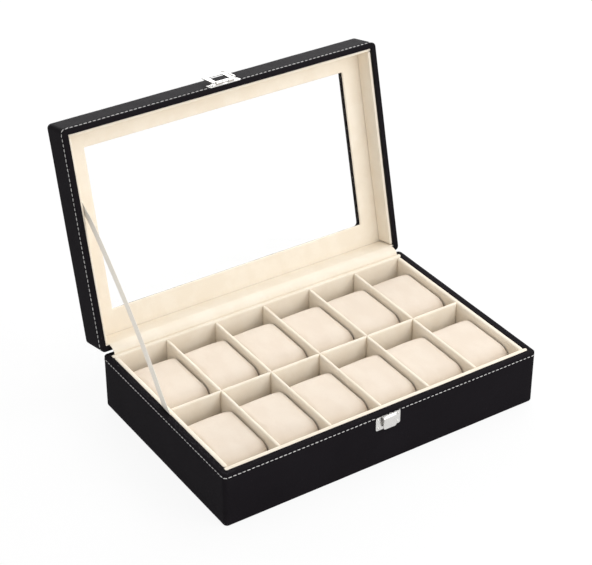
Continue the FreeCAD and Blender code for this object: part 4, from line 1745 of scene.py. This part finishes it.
@dataclass
class Fittings:
    """Nickel hinges, catch and hasp, with the edges that stamping leaves, and their nails."""

    finishes: FinishBook
    nodes: Dict[str, Piece]
    nails: NodeRecipe
    edge: float = 0.22
    keen: float = 40.0
    flat: float = 0.5
    weld: float = 1e-6
    sharp: float = 30.0
    nail_width: float = 2.3
    nail_rise: float = 1.5
    leaf_height: float = 13.0
    sheet: float = 0.8
    nail_edge: float = 3.2
    nail_foot: float = 2.4
    catch_half: float = 12.25
    catch_foot: float = 36.5
    catch_top: float = 49.5
    plate_half: float = 15.5
    plate_middle: float = 57.0

    def softened(self, node: str, body: Body) -> None:
        """Replace a metal node by a copy whose edges are eased.

        Args:
            node: Name of the node.
            body: Body that it rides on.
        """
        name = node + "_nickel"
        mesh = self.nodes[node].data.copy()
        mesh.name = name
        work = bmesh.new()
        work.from_mesh(mesh)
        bmesh.ops.remove_doubles(work, verts=work.verts, dist=self.weld)
        bmesh.ops.dissolve_limit(work, angle_limit=math.radians(self.flat), verts=work.verts,
                                 edges=work.edges)
        keen = [e for e in work.edges if e.is_manifold and e.calc_face_angle() > math.radians(self.keen)]
        bmesh.ops.bevel(work, geom=keen, offset=self.edge * MM, offset_type="OFFSET", segments=2,
                        profile=0.5, affect="EDGES", clamp_overlap=True)
        bmesh.ops.triangulate(work, faces=[f for f in work.faces if len(f.verts) > 4])
        bmesh.ops.remove_doubles(work, verts=work.verts, dist=self.weld)
        bmesh.ops.recalc_face_normals(work, faces=work.faces)
        work.to_mesh(mesh)
        work.free()
        piece = link_piece(name, mesh, self.finishes.nickel)
        shade(mesh, self.sharp)
        dress(piece, node, body.value)

    def nail_places(self) -> Dict[str, Tuple[List[Spot], float, Body]]:
        """Where the nails of each node are.

        Returns:
            By node: points on the sheet's face, the way they face along Y, and the body.
        """
        back = BOX.half_depth + self.sheet
        sides = (-1, 1)
        hinge = [centre * BOX.hinge_x + side * (BOX.hinge_half - self.nail_edge)
                 for centre in sides for side in sides]
        reach = self.leaf_height - self.nail_edge
        clasp = [side * (self.catch_half - self.nail_foot) for side in sides]
        catch_rows = (self.catch_foot + self.nail_foot, self.catch_top - self.nail_foot)
        plate = [side * (self.plate_half - self.nail_foot) for side in sides]
        return {
            "hinge_base_nails": ([(x, back, BOX.hinge_z - reach) for x in hinge], 1.0, Body.BASE),
            "hinge_lid_nails": ([(x, back, BOX.hinge_z + reach) for x in hinge], 1.0, Body.LID),
            "catch_nails": ([(x, -back, z) for x in clasp for z in catch_rows], -1.0, Body.BASE),
            "hasp_nails": ([(x, -back, self.plate_middle) for x in plate], -1.0, Body.LID),
        }

    def nail_group(self, node: str, places: List[Spot], outward: float, body: Body) -> None:
        """Set domed heads at the nails of one node.

        Args:
            node: Name of the node.
            places: Points on the sheet's face.
            outward: The way they face along Y.
            body: Body that they ride on.
        """
        points = np.array(places)
        tips = points + np.array([0.0, outward, 0.0])
        if body is Body.LID:
            points, tips = BOX.opened(points), BOX.opened(tips)
        carrier = bpy.data.meshes.new(node)
        carrier.from_pydata((points * MM).tolist(), [], [])
        layer = carrier.attributes.new("facing", "FLOAT_VECTOR", "POINT")
        layer.data.foreach_set("vector", (tips - points).astype(np.float32).ravel())
        piece = self.nails.run(node + "_heads", carrier, self.finishes.nickel, width=self.nail_width,
                               rise=self.nail_rise)
        dress(piece, node, body.value)

    def build(self) -> None:
        """Ease every plate, set the nails and paint the pins."""
        for side in ("left", "right"):
            self.softened(f"hinge_base_leaf_{side}", Body.BASE)
            self.softened(f"hinge_lid_leaf_{side}", Body.LID)
        for node, body in (("clasp_catch", Body.BASE), ("hasp_plate", Body.LID), ("hasp_loop", Body.HASP)):
            self.softened(node, body)
        for node, nails in self.nail_places().items():
            self.nail_group(node, *nails)
        paint_nodes(self.nodes, ("hinge_pin_left", "hinge_pin_right", "hasp_pin"), self.finishes.nickel)


def paint_nodes(nodes: Dict[str, Piece], names: Sequence[str], material: Material) -> None:
    """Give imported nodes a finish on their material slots.

    Args:
        nodes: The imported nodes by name.
        names: Names of those to paint.
        material: The finish.
    """
    for name in names:
        for holder in nodes[name].material_slots:
            holder.material = material
        LOG.info("%s: painted with %s", name, material.name)


@dataclass
class Carcass:
    """The boards under the leather and the pane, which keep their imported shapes."""

    finishes: FinishBook
    nodes: Dict[str, Piece]

    def build(self) -> None:
        """Paint the boards and the pane."""
        sides = ("front", "back", "left", "right")
        boards = ["base_bottom_board", "lid_board"]
        boards += [f"base_{s}_wall" for s in sides] + [f"lid_{s}_rail" for s in sides]
        paint_nodes(self.nodes, boards, self.finishes.card)
        paint_nodes(self.nodes, ("window_glass",), self.finishes.pane)


def look(thing: Piece, place: Spot, aim: Spot) -> None:
    """Put a lamp or camera at a place and turn it to its aim, both in millimetres."""
    thing.location = Vector(place) * MM
    thing.rotation_euler = (Vector(aim) - Vector(place)).to_track_quat("-Z", "Y").to_euler()


@dataclass(frozen=True)
class Lamp:
    """A soft square lamp: its place, its width in metres and its power in watts."""

    name: str
    place: Spot
    size: float
    power: float
    aim: Spot = (0.0, 0.0, 80.0)

    def hang(self) -> None:
        """Hang the lamp so that it looks at the box."""
        data = bpy.data.lights.new(self.name, "AREA")
        data.size = self.size
        data.energy = self.power
        look(link(self.name, data), self.place, self.aim)


@dataclass
class Studio:
    """White floor, soft lamps and the camera of the photograph."""

    camera_at: Spot = (-721.58, -1063.3, 937.83)
    aim: Spot = (9.19, 51.32, 93.35)
    lens: float = 110.53
    sensor: float = 36.0
    far: float = 50.0
    floor_half: float = 4000.0
    world_light: float = 0.66
    lamps: Tuple[Lamp, ...] = (
        Lamp("key_lamp", (500.0, -950.0, 900.0), 0.9, 6.5),
        Lamp("top_lamp", (430.0, 20.0, 620.0), 0.4, 1.4),
        Lamp("front_lamp", (-300.0, -1900.0, 600.0), 1.4, 4.0),
        Lamp("rear_lamp", (900.0, 1700.0, 380.0), 2.0, 38.0),
    )

    def floor(self) -> None:
        """Lay a white floor."""
        half = self.floor_half
        points = level(np.array([(-half, -half), (half, -half), (half, half), (-half, half)]), 0.0)
        mesh = bpy.data.meshes.new("floor")
        mesh.from_pydata((points * MM).tolist(), [], [(0, 1, 2, 3)])
        link_piece("floor", mesh, PaperFinish("paper_floor").build())

    def world(self) -> None:
        """Make an even sky, white where it is seen."""
        world = bpy.data.worlds.new("white_room")
        bpy.context.scene.world = world
        world.use_nodes = True
        desk = ShaderDesk(world.node_tree)
        dim, white = (desk.socket("ShaderNodeBackground", None, {"Color": WHITE, "Strength": strength})
                      for strength in (self.world_light, 1.0))
        desk.node("ShaderNodeOutputWorld", None, {"Surface": desk.either(desk.seen(), dim, white)})

    def camera(self) -> None:
        """Set up the camera of the photograph."""
        data = bpy.data.cameras.new("photo_camera")
        data.lens = self.lens
        data.sensor_width = self.sensor
        data.sensor_fit = "HORIZONTAL"
        data.clip_end = self.far
        camera = link("photo_camera", data)
        look(camera, self.camera_at, self.aim)
        bpy.context.scene.camera = camera

    def build(self) -> None:
        """Set the scene."""
        bpy.context.scene.view_settings.view_transform = "Standard"
        self.floor()
        self.world()
        for lamp in self.lamps:
            lamp.hang()
        self.camera()


def main() -> None:
    """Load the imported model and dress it."""
    logging.basicConfig(level=logging.INFO, format="%(name)s %(message)s")
    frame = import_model()
    nodes = frame["nodes"]
    Studio().build()
    finishes = FinishBook()
    StayRibbon(finishes).build()
    stitches = stitch_recipe()
    BaseShell(finishes, stitches).build()
    LidShell(finishes, stitches).build()
    TrayLining(finishes).build()
    LidLining(finishes).build()
    WatchCushions(finishes).build()
    RearStrip(finishes).build()
    Fittings(finishes, nodes, nail_recipe()).build()
    Carcass(finishes, nodes).build()


if __name__ == "__main__":
    main()
